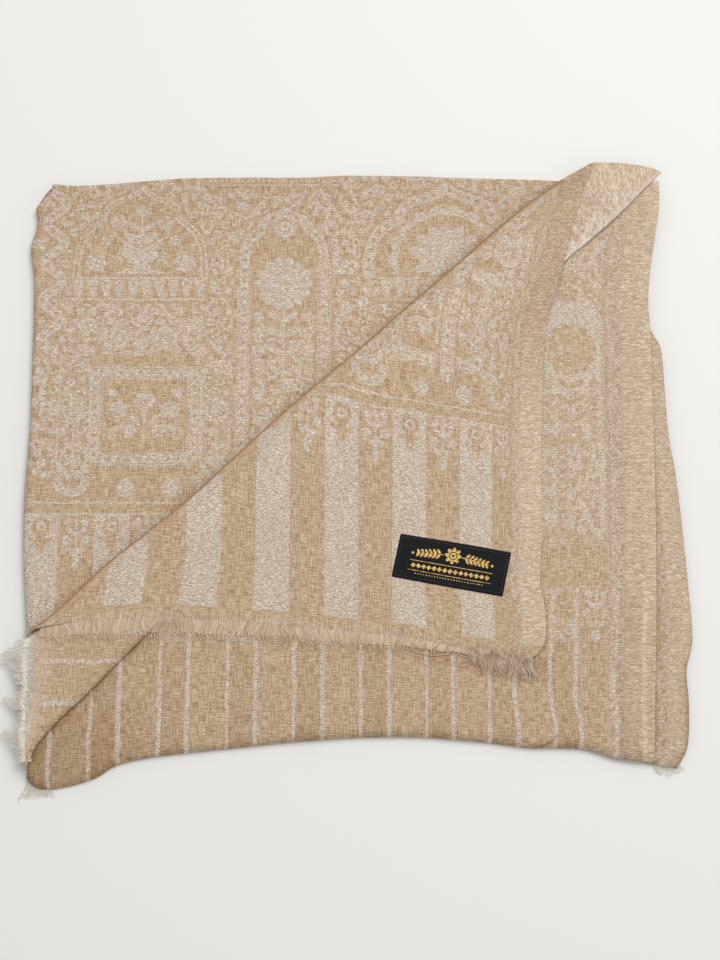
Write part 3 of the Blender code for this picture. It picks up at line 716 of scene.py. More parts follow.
def lace(chart):
    """Crinkled floats in patches beside the selvedge, between two fine lines."""
    for side in (LACE[0] + 1, LACE[1] - 1):
        chart.stroke([(side, STRIPE_FOOT), (side, CHART_HEIGHT)], 1.2)
    for v in np.arange(STRIPE_FOOT + 1, CHART_HEIGHT, 2.5):
        if STRIPE_FOOT + 4 < v < 46 and rng.uniform() < 0.6:
            continue
        u = rng.uniform(LACE[0] + 3, LACE[1] - 2)
        start = rng.uniform(0, 360)
        size = rng.uniform(1.8, 3.6)
        chart.stroke(arc(u, v, size, start, start + rng.uniform(120, 250), 0.7, 7), 1.7)


def swollen(ink, cells):
    """The ink spread outwards by some cells."""
    grown = ink.copy()
    for i in range(-cells, cells + 1):
        for j in range(-cells, cells + 1):
            if i * i + j * j <= cells * cells:
                grown = np.maximum(grown, np.roll(ink, (i, j), (0, 1)))
    return grown


def make_chart():
    """The whole cloth's chart: stripes, hanging flowers, border and figured field."""
    chart = Chart(CHART_WIDTH, CHART_HEIGHT, CHART_PITCH)
    filling = Chart(CHART_WIDTH, CHART_HEIGHT, CHART_PITCH)
    sprigs(filling, 200.0, 516.0)
    bare_places(filling)
    field_figures(chart)
    lines = Chart(CHART_WIDTH, CHART_HEIGHT, CHART_PITCH)
    field_outlines(lines)
    chart.ink = np.maximum(lines.ink, chart.ink * (1 - swollen(lines.ink, 4)))
    gap = np.maximum(swollen(chart.ink, 2), swollen(lines.ink, 5))
    chart.ink = np.maximum(chart.ink, filling.ink * (1 - gap))
    head = BORDER - BORDER_HALF
    for k in range(-1, 8):
        u = STRIPE_AT + k * STRIPE
        chart.box(u - STRIPE_HALF, u + STRIPE_HALF, STRIPE_FOOT, head)
        goblet(chart, u)
        pendant(chart, u + STRIPE / 2)
    for level in (head, BORDER + BORDER_HALF):
        chart.stroke([(0, level), (LACE[1], level)], 1.6)
    chart.box(LACE[0] - 4, CHART_WIDTH, 0, CHART_HEIGHT, cut=True)
    lace(chart)
    return chart


def weave_in(chart):
    """Breaks the drawing into weft threads: each row of floats starts and ends a little apart."""
    count, width = chart.ink.shape
    columns = np.arange(width)
    shift = np.repeat(rng.uniform(-0.5, 0.5, count // 2 + 1), 2)[:count]
    for i in range(count):
        chart.ink[i] = np.interp(columns + shift[i], columns, chart.ink[i])
    v, u = np.mgrid[0:count, 0:width] * chart.pitch
    wear_and_crest_shade = value_noise(u / 3.0, v / 1.2, 3) * 0.10 + value_noise(u / 14, v / 14, 4) * 0.10
    chart.ink[:] = np.clip(chart.ink * (0.94 + wear_and_crest_shade), 0, 1)
    for axis in (0, 1):
        beside = np.roll(chart.ink, 1, axis) + np.roll(chart.ink, -1, axis)
        chart.ink[:] = (beside + 2 * chart.ink) / 4


CHART = make_chart()
weave_in(CHART)


def good_side(u, v):
    """What shows on the front: the floats as they are drawn."""
    return CHART.read(u, v)


def stripe_offset(u):
    """Distance from the middle of the nearest off-white stripe."""
    return np.abs((u - STRIPE_AT + STRIPE / 2) % STRIPE - STRIPE / 2)


def back_line(u, v):
    """The two off-white lines that stand on the back for each stripe of the good side."""
    wander = value_noise(v / 9, u / STRIPE, 11) * 0.8
    half = np.where((u - STRIPE_AT + STRIPE / 2) % STRIPE < STRIPE / 2, 1.4, 1.75)
    half = half + 0.4 * value_noise(v / 13, u / STRIPE, 13)
    line = np.clip(0.5 - (np.abs(stripe_offset(u) - 11.2 + wander) - half) / 0.9, 0, 1)
    patchy = 1.0 + 0.15 * value_noise(u / 1.5 + v / 4.0, v / 1.6, 12)
    return line * patchy * ease(STRIPE_FOOT - 1, STRIPE_FOOT + 1, v) * (v < BORDER)


def reverse_side(u, v):
    """What shows on the back: the floats' cut edges, and the field's figures turned about."""
    ink = CHART.read(u, v)
    soft = (CHART.read(u - 0.8, v) + CHART.read(u + 0.8, v) + CHART.read(u, v + 0.8) + ink) / 4
    off = stripe_offset(u)
    line = back_line(u, v)
    head = BORDER - BORDER_HALF
    foot = head - 42  # of the hanging flowers
    field = v > BORDER + BORDER_HALF
    patches = 0.62 + 0.45 * value_noise(u / 3.5, v / 3.0, 14)
    in_head = np.maximum(np.where(off < STRIPE_HALF, ink * patches, ink * 0.9), line * 0.6)
    shown = np.where(v < foot, line, np.where((v > foot) & (v < head), in_head, 0.0))
    strength = 0.35 + 0.65 * ease(204, 222, v)
    shown = np.where(field, np.clip(1.02 - 1.0 * soft, 0, 1) * 0.88 * strength, shown)
    beyond = u > LACE[0] - 4
    return np.where(beyond, np.where(u < LACE[1], np.maximum(ink, 0.38), 0.0), shown)


# Meshes

NO_TRIANGLES = np.zeros((0, 3), int)


def patch(index):
    """Four-sided faces over a grid of vertex numbers."""
    a, b, c, d = index[:-1, :-1], index[:-1, 1:], index[1:, 1:], index[1:, :-1]
    return np.stack([a, b, c, d], -1).reshape(-1, 4)


class Sheet:
    """A sheet's vertices, each with its place on the flat cloth in millimetres, and its faces."""

    def __init__(self):
        self.points = []
        self.threads = []
        self.fold_shades_and_floats = []
        self.shades = []
        self.quads = []
        self.triangles = []
        self.count = 0

    def add(self, points, threads, crease=0.0, shade=0.0):
        """Adds a block of vertices and returns their numbers in the block's shape."""
        shape = points.shape[:-1]
        self.fold_shades_and_floats.append(np.broadcast_to(crease, shape).ravel())
        self.shades.append(np.broadcast_to(shade, shape).ravel())
        self.points.append(points.reshape(-1, 3))
        self.threads.append(threads.reshape(-1, 2))
        numbers = np.arange(self.count, self.count + int(np.prod(shape))).reshape(shape)
        self.count += numbers.size
        return numbers

    def every(self):
        """All points so far."""
        return np.concatenate(self.points)

    def finish(self, name, material, figure, flip=False, relief=True):
        """The sheet as an object, with what its material reads at each vertex."""
        points = self.every()
        u, v = np.concatenate(self.threads).T
        ink = figure(u, v)
        crepe = ease(SELVEDGE[0] - 1.5, SELVEDGE[0] + 1.5, u) * ease(8.0, 10.5, v)
        if relief:
            points[:, 2] += surface_relief(u, v, ink, crepe)
        quads = np.concatenate(self.quads)
        triangles = np.concatenate([NO_TRIANGLES, *self.triangles])
        made = mesh_object(name, points, quads, triangles, material, flip)
        set_values(made, "figure", ink)
        set_values(made, "crepe", crepe)
        set_values(made, "crease", np.concatenate(self.fold_shades_and_floats))
        set_values(made, "shade", np.concatenate(self.shades))
        set_vectors(made, "thread", np.stack([u, v, np.zeros_like(u)], -1) / 1000)
        bake_map(made, u, v)
        return made


def surface_relief(u, v, ink, crepe):
    """Small height of the floats and of the crinkled selvedge."""
    lift = 0.00010 * ink
    crinkle = value_noise(u / 9 + value_noise(u / 7, v / 5, 22), v / 2.3, 21)
    crinkle += 0.5 * value_noise(u / 5, v / 1.3, 23)
    slack = 0.00009 * value_noise(u / 11, v / 7, 24) + 0.00022 * value_noise(u / 27, v / 31, 25)
    return lift + crepe * 0.00028 * crinkle + slack


def add_object(name, data):
    """A new object with this data, in the scene."""
    made = bpy.data.objects.new(name, data)
    bpy.context.scene.collection.objects.link(made)
    return made


def mesh_object(name, points, quads, triangles, material, flip=False):
    """A smooth mesh; its points move from the part's frame to the one centred on its box."""
    mesh = bpy.data.meshes.new(name)
    if flip:
        quads = quads[:, ::-1]
        triangles = triangles[:, ::-1]
    loops = np.concatenate([quads.ravel(), triangles.ravel()])
    sizes = np.repeat([4, 3], [len(quads), len(triangles)])
    starts = np.cumsum(sizes) - sizes
    mesh.vertices.add(len(points))
    mesh.vertices.foreach_set("co", (points - CENTRE).astype(np.float32).ravel())
    mesh.loops.add(len(loops))
    mesh.loops.foreach_set("vertex_index", loops.astype(np.int32))
    mesh.polygons.add(len(starts))
    mesh.polygons.foreach_set("loop_start", starts.astype(np.int32))
    mesh.update(calc_edges=True)
    mesh.validate()
    mesh.shade_smooth()
    mesh.materials.append(material)
    return add_object(name, mesh)


def set_values(made, name, values):
    """One value for each vertex, under a name that a material reads."""
    layer = made.data.attributes.new(name, "FLOAT", "POINT")
    layer.data.foreach_set("value", values.astype(np.float32))


def set_vectors(made, name, vectors):
    """One vector for each vertex."""
    layer = made.data.attributes.new(name, "FLOAT_VECTOR", "POINT")
    layer.data.foreach_set("vector", vectors.astype(np.float32).ravel())


def bake_map(made, u, v):
    """A map to bake the looks through: the cloth laid flat."""
    across = np.array([u, v])
    low, high = across.min(1), across.max(1)
    flat = (across - low[:, None]) / (high - low)[:, None]
    corners = np.zeros(len(made.data.loops), np.int32)
    made.data.loops.foreach_get("vertex_index", corners)
    layer = made.data.uv_layers.new(name="OFBake")
    layer.data.foreach_set("uv", flat.T[corners].astype(np.float32).ravel())


def three(plane, height):
    """Points in space from points in the plane and a height for each."""
    return np.concatenate([plane, np.broadcast_to(height, plane.shape[:-1])[..., None]], -1)


def wedge(leg, slope, cap, count):
    """Places of a triangle's rows, each from the leg to the slope, and the last along the cap.

    Row r has r + 1 places. Returns them in one array, and the number of each row's first.
    """
    shares = np.linspace(0, 1, count + 1)
    legs, slopes, caps = spread(leg, shares), spread(slope, shares), spread(cap, shares)
    bulge = caps[:, :2] - (legs[-1, :2] + shares[:, None] * (slopes[-1, :2] - legs[-1, :2]))
    row = np.repeat(np.arange(count + 1), np.arange(1, count + 2))
    first = np.concatenate([[0], np.cumsum(np.arange(1, count + 1))])
    column = np.arange(len(row)) - first[row]
    share = column / np.maximum(row, 1)
    bent = np.stack([np.interp(share, shares, axis) for axis in bulge.T], -1)
    places = legs[row, :2] * (1 - share)[:, None] + slopes[row, :2] * share[:, None]
    places += bent * ((row / count) ** 4)[:, None]
    return places, first


def fill_wedge(sheet, first):
    """Quads and triangles of a wedge with these first numbers of its rows."""
    for r in range(1, len(first) - 1):
        low = first[r] + np.arange(r)
        high = first[r + 1] + np.arange(r)
        sheet.quads.append(np.stack([low, low + 1, high + 1, high], -1))
    r = np.arange(len(first) - 1)
    ends = [first[r] + r, first[r + 1] + r + 1, first[r + 1] + r]
    sheet.triangles.append(np.stack(ends, -1))


def hem(sheet, loop, points, threads, outward, steps, crease=0.0, shade=0.0, turned=False):
    """Rows beyond a sheet's edge; each step is how far out, how far up, and the thread's run.

    The faces of a turned hem look the other way.
    """
    block = [loop]
    for out, up, run in steps:
        moved = points + three(outward * np.reshape(out, (-1, 1)), up)
        block.append(sheet.add(moved, threads + outward * run * 1000, crease, shade))
    block = np.array(block)
    sheet.quads.append(patch(block[:, ::-1] if turned else block))


THIN_EDGE = [(0.00015, -0.00020, 0.0002), (0.00008, -0.00050, 0.0004)]


def raw_edge(sheet, edge, threads, shade=0.0, turned=True):
    """A thin edge along vertices that run with the cloth on their left."""
    points = sheet.every()[edge]
    outward = -left_of(tangents(points))
    flat = threads(points[:, :2])
    hem(sheet, edge, points, flat, outward, THIN_EDGE, shade=shade, turned=turned)


# Where the threads of each ply lie

TOP_MIDDLE = (253.5, 202.3)  # the chart's place under the middle of the part
STRIP_MIDDLE = (247.9, 244.0)
INNER_MIDDLE = 258.0  # along the cloth, for the two plies below
FLAP_SIDE_X = 0.1377  # the selvedges of the flap and of the inner ply where they run straight
INNER_SIDE_X = 0.2175
LOWER_DRAWN_IN = 1.45  # how much closer together the lower ply's threads lie at its selvedge


def top_threads(places):
    """Straight across and along the shawl."""
    return places * (1000, 1006) + TOP_MIDDLE


def strip_threads(places):
    """Mirrored by the turn: the cloth's length runs to the right here, and its width away."""
    return places[..., ::-1] * 1000 + STRIP_MIDDLE


FLAP_THREADS = [  # x, u
    (-250, 101), (-172.8, 173.1), (-116.8, 226.4), (-66, 279.7), (-13.9, 333), (37.5, 386.3),
    (88.2, LAST_STRIPE), (100.5, 453.3), (115, 477.5), (121.3, 490), (137.7, 512),
]
INNER_THREADS = [  # x, u
    (-240.5, 10), (-187.4, 66.5), (-137.2, 119.8), (-87.3, 173.1), (-38.2, 226.4), (11, 279.7),
    (59, 333), (104.5, 386.3), (149.3, LAST_STRIPE), (159.2, 452), (183.4, 477.5), (195.8, 490),
    (216.3, 512),
]


def flap_threads(places):
    """The flap's threads hang from its fringed end and run out to its selvedge."""
    x, y = places[..., 0], places[..., 1]
    v = (y - np.interp(x, *FLAP_END_LINE.T)) * 1000
    lean = ease(-0.02, 0.12, x) * (np.interp(y, *FLAP_SIDE_LINE.T[::-1]) - FLAP_SIDE_X)
    splay = 0.0042 * (1 - ease(0, 52, v)) * (1 - ease(-0.13, -0.05, x))
    beside = np.abs(nearest(CREST_LINE, places.reshape(-1, 2))[0]).reshape(v.shape)
    raised = 7.4 * np.exp(-(((beside - 0.013) / 0.014) ** 2))
    raised += 2.0 * np.exp(-(((beside - 0.034) / 0.010) ** 2))
    v = v - raised * ease(60, 120, v)
    v = v - 2.6 * ease(0.02, 0.08, x) * ease(40, 170, v)
    return np.stack([np.interp((x - lean + splay) * 1000, *np.array(FLAP_THREADS).T), v], -1)


def inner_threads(places):
    """The inner ply's threads lean with its selvedge, and spread where its corner is drawn in."""
    x, y = places[..., 0], places[..., 1]
    lean = ease(0.02, 0.18, x) * (np.interp(y, *INNER_RIGHT_LINE.T[1::-1]) - INNER_SIDE_X)
    lean += 0.0058 * ease(0.160, 0.192, -y) * np.exp(-(((x - 0.150) / 0.045) ** 2))
    u = np.interp((x - lean) * 1000, *np.array(INNER_THREADS).T)
    return np.stack([u, y * 1000 + INNER_MIDDLE], -1)


def lower_threads(places):
    """Only the selvedge of this ply shows, drawn in, so its threads are counted from there."""
    x, y = places[..., 0], places[..., 1]
    inwards = np.interp(y, *LOWER_RIGHT_LINE.T[1::-1]) - x
    u = SELVEDGE[1] - inwards * 1000 * LOWER_DRAWN_IN
    return np.stack([u, y * 1000 + INNER_MIDDLE], -1)


# The sheets

PAST_CREST = 0.008  # how far past the crest the top ply is finely made
FAR_LEFT = (-0.2460, 0.2440)  # its folded corner
SEAM_START = (-0.2270, -0.1790)  # where its hidden stretch meets the turn
SEAM_END = (0.2145, 0.2365)


def top_height(places, edge):
    """The top ply comes down at its folded edges and swells a little between them."""
    away, on_edge = nearest(edge, places)
    sag = on_edge[:, 2] * read(SAG, np.abs(away) / EDGE_REACH)
    return TOP_Z + SKIN - sag + swell(places)


def top_shades(places, edge):
    """Darker beside the crest and along the folded edges, and a little towards the far side."""
    x, y = places.T
    off = nearest(CREST_LINE, places)[0]
    uneven = 0.8 + 0.4 * value_noise(x * 90, y * 90, 35)
    shade = 0.48 * uneven * np.exp(-np.maximum(off, 0) / 0.0052)
    shade = np.maximum(shade, 0.30 * np.exp(-np.abs(nearest(edge, places)[0]) / 0.0011))
    return shade + 0.15 * ease(0.165, 0.250, y)


def top_outline(edge, inset):
    """The left side of the top ply's fine part, its side along the crest, and its far side."""
    inner_edge = edge.copy()
    inner_edge[:, :2] -= left_of(tangents(edge)) * inset
    crest = CREST_LINE - left_of(tangents(CREST_LINE)) * PAST_CREST
    crest = crest[nearest(inner_edge, crest)[0] < -0.0004]
    start, corner, end = (share_near(inner_edge, at) for at in (crest[0], FAR_LEFT, crest[-1]))
    leg = spread(inner_edge, np.linspace(start, corner, 1500))
    cap = spread(inner_edge, np.linspace(corner, end, 1500))
    crest[0], crest[-1] = leg[0, :2], cap[-1, :2]
    return leg, crest, cap


def make_top_ply(material):
    """The top ply: folded edges on the left and far side, and a plain stretch under the flap."""
    inset = 0.0009
    count = 410
    edge = smooth(TOP_PLY_EDGE, 12)
    places, first = wedge(*top_outline(edge, inset), count)
    points = three(places, top_height(places, edge))
    sheet = Sheet()
    sheet.add(points, top_threads(places), shade=top_shades(places, edge))
    fill_wedge(sheet, first)
    # On under the flap to the turn
    diagonal = first + np.arange(count + 1)
    seam = TURN_LINE + left_of(tangents(TURN_LINE)) * (LIP + 0.0007)
    seam_start, seam_end = share_near(seam, SEAM_START), share_near(seam, SEAM_END)
    seam = spread(seam, np.linspace(seam_start, seam_end, count))
    seam = np.concatenate([edge[:1, :2], seam])
    block = [diagonal]
    for share in (0.12, 0.3, 0.5, 0.75, 1.0):
        row = places[diagonal] * (1 - share) + seam * share
        block.append(sheet.add(three(row, top_height(row, edge)), top_threads(row)))
    block = np.array(block)
    sheet.quads.append(patch(block[:, ::-1]))
    # Round the folded edges and under
    loop = np.concatenate([block[::-1, 0], first[1:], first[-1] + np.arange(1, count + 1)])
    points = sheet.every()[loop]
    drop = nearest(edge, points[:, :2])[1][:, 2]
    outward = left_of(tangents(points))
    top = drop * read(SAG, inset / EDGE_REACH)
    steps = []
    for out in (0.0004, 0.00065, 0.00082, inset):
        steps.append((out, top - drop * read(SAG, (inset - out) / EDGE_REACH), out))
    steps.append((0.0006, top - drop - 0.0005, 0.0016))
    steps.append((-0.0020, top - drop - 0.0007, 0.0040))
    hem(sheet, loop, points, top_threads(points[:, :2]), outward, steps, shade=0.35)
    return sheet.finish("top_ply_cloth", material, good_side, flip=True)


def crest_radius(share):
    """The crest's radius at a share of its length: it opens towards its far end."""
    return CREST_RADIUS_NEAR + (CREST_RADIUS_FAR - CREST_RADIUS_NEAR) * ease(0.3, 1.0, share)


def crest_shade_and_floats(along, off):
    """Painted shade beside the crest, which hides its floats, and here and there floats pulled up
    in a ridge.
    """
    limit = 4.4 + 1.5 * line_noise(along / 7, 33) + 0.6 * line_noise(along / 2.2, 36)
    # painted shade beside the crest, which also hides the floats there
    wear_and_crest_shade = 0.55 * np.clip((limit - off) / 2.4, 0, 1)
    pulled = np.clip(1.8 * line_noise(along / 16, 34) - 0.1, 0, 1)
    return wear_and_crest_shade - pulled * np.clip(1.2 - np.abs(off - limit - 0.5) / 0.7, 0, 1)


def make_corner_flap(material):
    """The flap: a raw fringed end, a crinkled selvedge, and the crest's roll."""
    count = 425
    shares = np.linspace(0, 1, count + 1)
    crest = spread(CREST_LINE, shares)
    radius = crest_radius(shares)
    inward = -left_of(tangents(crest))
    slope = crest + inward * radius[:, None]
    end, selvedge = FLAP_END_LINE.copy(), FLAP_SIDE_LINE.copy()
    end[0] = slope[0]
    selvedge[-1] = slope[-1]
    places, first = wedge(end, slope, selvedge, count)
    away, on_crest = nearest(CREST_LINE, places)
    share = np.interp(on_crest[:, 0], crest[:, 0], shares)
    rise = (2 * crest_radius(share) - STEP) * read(CREST_FALL, np.abs(away))
    height = flap_height(places) + SKIN + rise + flap_waves(places)
    threads = flap_threads(places)
    # painted shade beside the crest, and floats pulled up in a ridge
    crease = crest_shade_and_floats(places.sum(1) * 1000 / 1.4, np.abs(away) * 1000)
    dull = (0.06 + 0.40 * ease(0.02, 0.16, places[:, 1])) * ease(478, 492, threads[:, 0])
    sheet = Sheet()
    sheet.add(three(places, height), threads, crease, dull)
    fill_wedge(sheet, first)
    # The roll over the crest and the lip under it, painted with shade
    diagonal = first + np.arange(count + 1)
    outer = radius + SKIN
    steps = []
    for angle in np.linspace(0, math.pi, 11)[1:]:
        steps.append((outer * math.sin(angle), outer * (math.cos(angle) - 1), angle * 0.0022))
    steps.append((-LIP, outer * -2, 0.012))
    line = (diagonal, sheet.every()[diagonal], flap_threads(slope), -inward)
    hem(sheet, *line, steps, crease=0.75, shade=0.60, turned=True)
    edge = np.concatenate([first, first[-1] + np.arange(1, count + 1)])
    raw_edge(sheet, edge, flap_threads, turned=False)
    return sheet.finish("corner_flap_cloth", material, good_side)


def flap_waves(places):
    """Soft waves along the flap's two raw edges, which die out inwards."""
    end = nearest(FLAP_END_LINE, places)[0]
    side = nearest(FLAP_SIDE_LINE, places)[0]
    x, y = places.T * 1000
    at_end = 0.0004 * (1 + line_noise(x / 13, 31)) * np.exp(-np.abs(end) / 0.007)
    at_side = 0.0004 * (1 + line_noise(y / 9, 32)) * np.exp(-np.abs(side) / 0.009)
    return at_end + at_side


def make_turned_strip(material):
    """The strip between the folds, reverse up; its rows are fine where it shows at both ends."""
    near, middle = np.linspace(0, 0.22, 150)[:-1], np.linspace(0.22, 0.80, 60)[:-1]
    shares = np.concatenate([near, middle, np.linspace(0.80, 1, 140)])
    turn = spread(TURN_LINE, shares)
    crest = spread(CREST_LINE, shares)
    along = tangents(turn)
    towards = crest - turn
    width = np.hypot(*towards.T)
    towards /= width[:, None]
    square = towards[:, 0] * -along[:, 1] + towards[:, 1] * along[:, 0]
    across = towards / square[:, None]
    reach = width * square - 0.0012
    far_end = ease(0.955, 1.0, shares)
    sheet = Sheet()
    block = []
    radius = TURN_RADIUS + SKIN

    def add_row(out, height, shade):
        """A row at a distance in from the turn; its far end bows outwards."""
        place = turn + across * np.broadcast_to(out, len(turn))[:, None]
        place[:, 1] += far_end * read(STRIP_BOW, np.clip(out / reach, 0, 1))
        uneven = 0.85 + 0.3 * value_noise(place[:, 0] * 60, place[:, 1] * 60, 37)
        end = np.exp(-np.maximum(place[:, 0] + 0.2425, 0) / 0.009)
        wear_and_crest_shade = value_noise(place[:, 0] * 620, place[:, 1] * 130, 38) + 0.55 - out / 0.030
        far = ease(0.135, 0.165, place[:, 0]) * ease(0.242, 0.236, place[:, 1])
        # Towards the far end the roll gives up its painted shade and is painted light with the
        # loose floats' colour; the floats are the cloth's own there
        bright = ease(0.120, 0.160, place[:, 0])
        on_roll = np.max(out) < TURN_RADIUS
        shade = shade * uneven * (1 - bright) - 0.5 * bright * on_roll - 0.5 * end
        shade = shade - 0.9 * far * np.clip(1.7 * wear_and_crest_shade - 0.3, 0, 1)
        block.append(sheet.add(three(place, height), strip_threads(place), 0.0, shade))

    add_row(LIP, TOP_Z - SKIN, 0.65)
    for angle in np.linspace(-math.pi / 2, math.pi / 2, 9):
        out = TURN_RADIUS - radius * math.cos(angle)
        height = TOP_Z + TURN_RADIUS + radius * math.sin(angle)
        add_row(out, height, 0.74 - 0.30 * ease(-0.2, 1.5, angle))
    for share in np.linspace(0, 1, 66)[1:]:
        out = TURN_RADIUS + (reach - TURN_RADIUS) * share
        height = STRIP_Z + SKIN + read(STRIP_RISE, out)
        add_row(out, height, 0.44 * np.exp(-(out - TURN_RADIUS) / 0.0020) + 0.03)
    block = np.array(block)
    sheet.quads.append(patch(block[:, ::-1]))
    every = sheet.every()
    flat = np.concatenate(sheet.threads)
    for loop, outward in ((block[10:, 0][::-1], (-1.0, 0.0)), (block[10:, -1], (0.0, 1.0))):
        hem(sheet, loop, every[loop], flat[loop], np.tile(outward, (len(loop), 1)), THIN_EDGE)
    return sheet.finish("turned_strip_cloth", material, reverse_side)


def four_sided(near, far, left, right, shares, depths, level):
    """Places and heights of a four-sided ply that comes down at its near and right edges."""
    near_line, far_line = spread(smooth(near), shares)[None], spread(smooth(far), shares)[None]
    left_line, right_line = (spread(smooth(side), depths)[:, None] for side in (left, right))
    u, v = np.asarray(shares)[None, :, None], np.asarray(depths)[:, None, None]
    ruled = near_line[..., :2] * (1 - v) + far_line[..., :2] * v
    ruled = ruled + left_line[..., :2] * (1 - u) + right_line[..., :2] * u
    low, high = (line[0][:2] * (1 - u) + line[-1][:2] * u for line in (near, far))
    place = ruled - low * (1 - v) - high * v

    def fall(line):
        """How far the ply comes down beside one of its edges."""
        off = np.hypot(*np.moveaxis(place - line[..., :2], -1, 0))
        return line[..., 2] * read(SAG, off / line[..., 3])

    return place, level + SKIN - np.maximum(fall(near_line), fall(right_line))


def blocks_of_ply(sheet, sides, level, threads, spans, shades, waves=None):
    """Adds a ply as blocks of shares across by shares deep, each with its own fineness."""
    blocks = []
    for shares, depths in spans:
        place, height = four_sided(*sides, shares, depths, level)
        if waves is not None:
            height = height + waves(place)
        shade = shades(place.reshape(-1, 2)).reshape(height.shape)
        numbers = sheet.add(three(place, height), threads(place), 0.0, shade)
        sheet.quads.append(patch(numbers))
        blocks.append(numbers)
    return blocks


def near_depths(until, step, length=0.455):
    """Shares of depth: close together in the first millimetre, then even."""
    first = np.array([0.0, 0.0001, 0.0003, 0.0006, 0.0010, 0.0015, 0.0022]) / length
    rest = np.arange(0.0030 / length, until, step / length)
    return np.concatenate([first, rest, [until]])


def inner_waves(place):
    """Low waves of the inner ply in front of the flap."""
    x, y = place[..., 0], place[..., 1]
    wave = 0.0005 * value_noise(x * 1000 / 23, y * 1000 / 37, 41)
    return wave * ease(0.0, 0.012, y + 0.205) * ease(-0.25, -0.20, x)


def inner_shades(places):
    """Darker beside the turn and the flap, under the fringe, and where the near roll goes down."""
    x, y = places.T
    beside_turn = np.maximum(-nearest(TURN_LINE, places)[0], 0)
    uneven = 0.8 + 0.4 * value_noise(x * 70, y * 70, 42)
    shade = 0.46 * uneven * np.exp(-beside_turn / 0.0026) + 0.16 * np.exp(-beside_turn / 0.014)
    shade *= 1 - 1.5 * ease(0.12, 0.16, x)
    beside_flap = np.abs(nearest(FLAP_SIDE_LINE, places)[0])
    shade = np.maximum(shade, 0.42 * np.exp(-beside_flap / 0.0013))
    under_fringe = nearest(FLAP_END_LINE, places)[0]
    patchy = 0.16 + 0.16 * value_noise(x * 45, y * 45, 43) + 0.20 * ease(0.065, 0.09, x)
    shade = np.maximum(shade, patchy * ease(-0.019, -0.012, under_fringe) * (under_fringe < 0))
    zone = 1 - ease(10.4, 12.0, stripe_offset(inner_threads(places)[:, 0]))
    above_roll = np.abs(nearest(smooth(INNER_NEAR), places)[0])
    roll = np.exp(-above_roll / 0.007) * (0.28 * zone * (0.7 + 0.5 * uneven) + 0.05)
    lobe = 0.30 * ease(0.150, 0.200, -y) * ease(0.130, 0.180, -x)
    selvedge = 0.21 * ease(0.180, 0.192, x)
    white = 0.12 * ease(0.120, 0.140, x) * ease(-0.110, -0.070, y)
    shade = shade + roll + lobe + 0.09 * zone + 0.03 + selvedge - white
    shade -= 0.38 * back_line(*inner_threads(places).T)
    for fold, depth, width in ((LOBE_FOLD, 0.30, 0.0012), (TUCK_FOLD, 0.75, 0.0007)):
        line = nearest(smooth(fold), places)[0]
        shade = np.maximum(shade, depth * np.exp(-((line / width) ** 2)))
    return np.clip(shade, -1, 1)


def lower_shades(places):
    """Darker beside the ply above, and along the selvedge where it comes down."""
    y = places[:, 1]
    shade = 0.30 * np.exp(-np.abs(nearest(INNER_RIGHT_LINE, places)[0]) / 0.0016)
    edge = np.abs(nearest(LOWER_RIGHT_LINE, places)[0])
    shade += 0.30 * np.exp(-edge / 0.0045) * ease(0.12, 0.17, -y)
    return 0.19 + shade + 0.50 * np.exp(-edge / 0.0020) * (0.35 + 0.65 * ease(0.10, 0.16, -y))


def make_inner_ply(material):
    """The ply below, reverse up: fine where it shows in front and on the right."""
    split, beside = 0.285, 0.765
    shares = np.linspace(0, 1, 425)
    inside = shares[shares > beside]
    depths = near_depths(split, 0.0011)
    further = np.linspace(split, 1.0, 290)
    spans = [
        (shares, depths),
        (inside, further),
        (np.linspace(0, inside[0], 40), np.linspace(split, 1.0, 36)),
    ]
    sides = (INNER_NEAR, INNER_FAR, INNER_LEFT, INNER_RIGHT)
    sheet = Sheet()
    ply = (sheet, sides, INNER_Z, inner_threads, spans, inner_shades, inner_waves)
    front, right, _ = blocks_of_ply(*ply)
    # The near edge is a fold: it goes on round and under
    points = sheet.every()[front[0]]
    outward = -left_of(tangents(points))
    under = np.maximum(points[:, 2] - 0.0008, 0.0003)
    steps = [
        (0.00010, -0.00030, 0.0004),
        (-0.00020, -0.00060, 0.0008),
        (-0.0040, under - points[:, 2], 0.0046),
        (-0.0160, under - points[:, 2], 0.0166),
    ]
    threads = inner_threads(points[:, :2])
    hem(sheet, front[0], points, threads, outward, steps, shade=0.35, turned=True)
    raw_edge(sheet, np.concatenate([front[:, -1], right[1:, -1]]), inner_threads)
    return sheet.finish("inner_ply_cloth", material, reverse_side)


def make_lower_ply(material):
    """The ply below that, good side up, of which the selvedge shows."""
    split = 0.86
    depths = np.concatenate([near_depths(0.03, 0.0011), np.linspace(0.03, 1, 400)[1:]])
    spans = [
        (np.linspace(split, 1, 66), depths),
        (np.linspace(0, split, 50), np.linspace(0, 1, 40)),
    ]
    sides = (LOWER_NEAR, LOWER_FAR, LOWER_LEFT, LOWER_RIGHT)
    sheet = Sheet()
    right, _ = blocks_of_ply(sheet, sides, LOWER_Z, lower_threads, spans, lower_shades)
    raw_edge(sheet, np.concatenate([right[0][:-1], right[:, -1]]), lower_threads, 0.5)
    return sheet.finish("lower_ply_cloth", material, good_side)


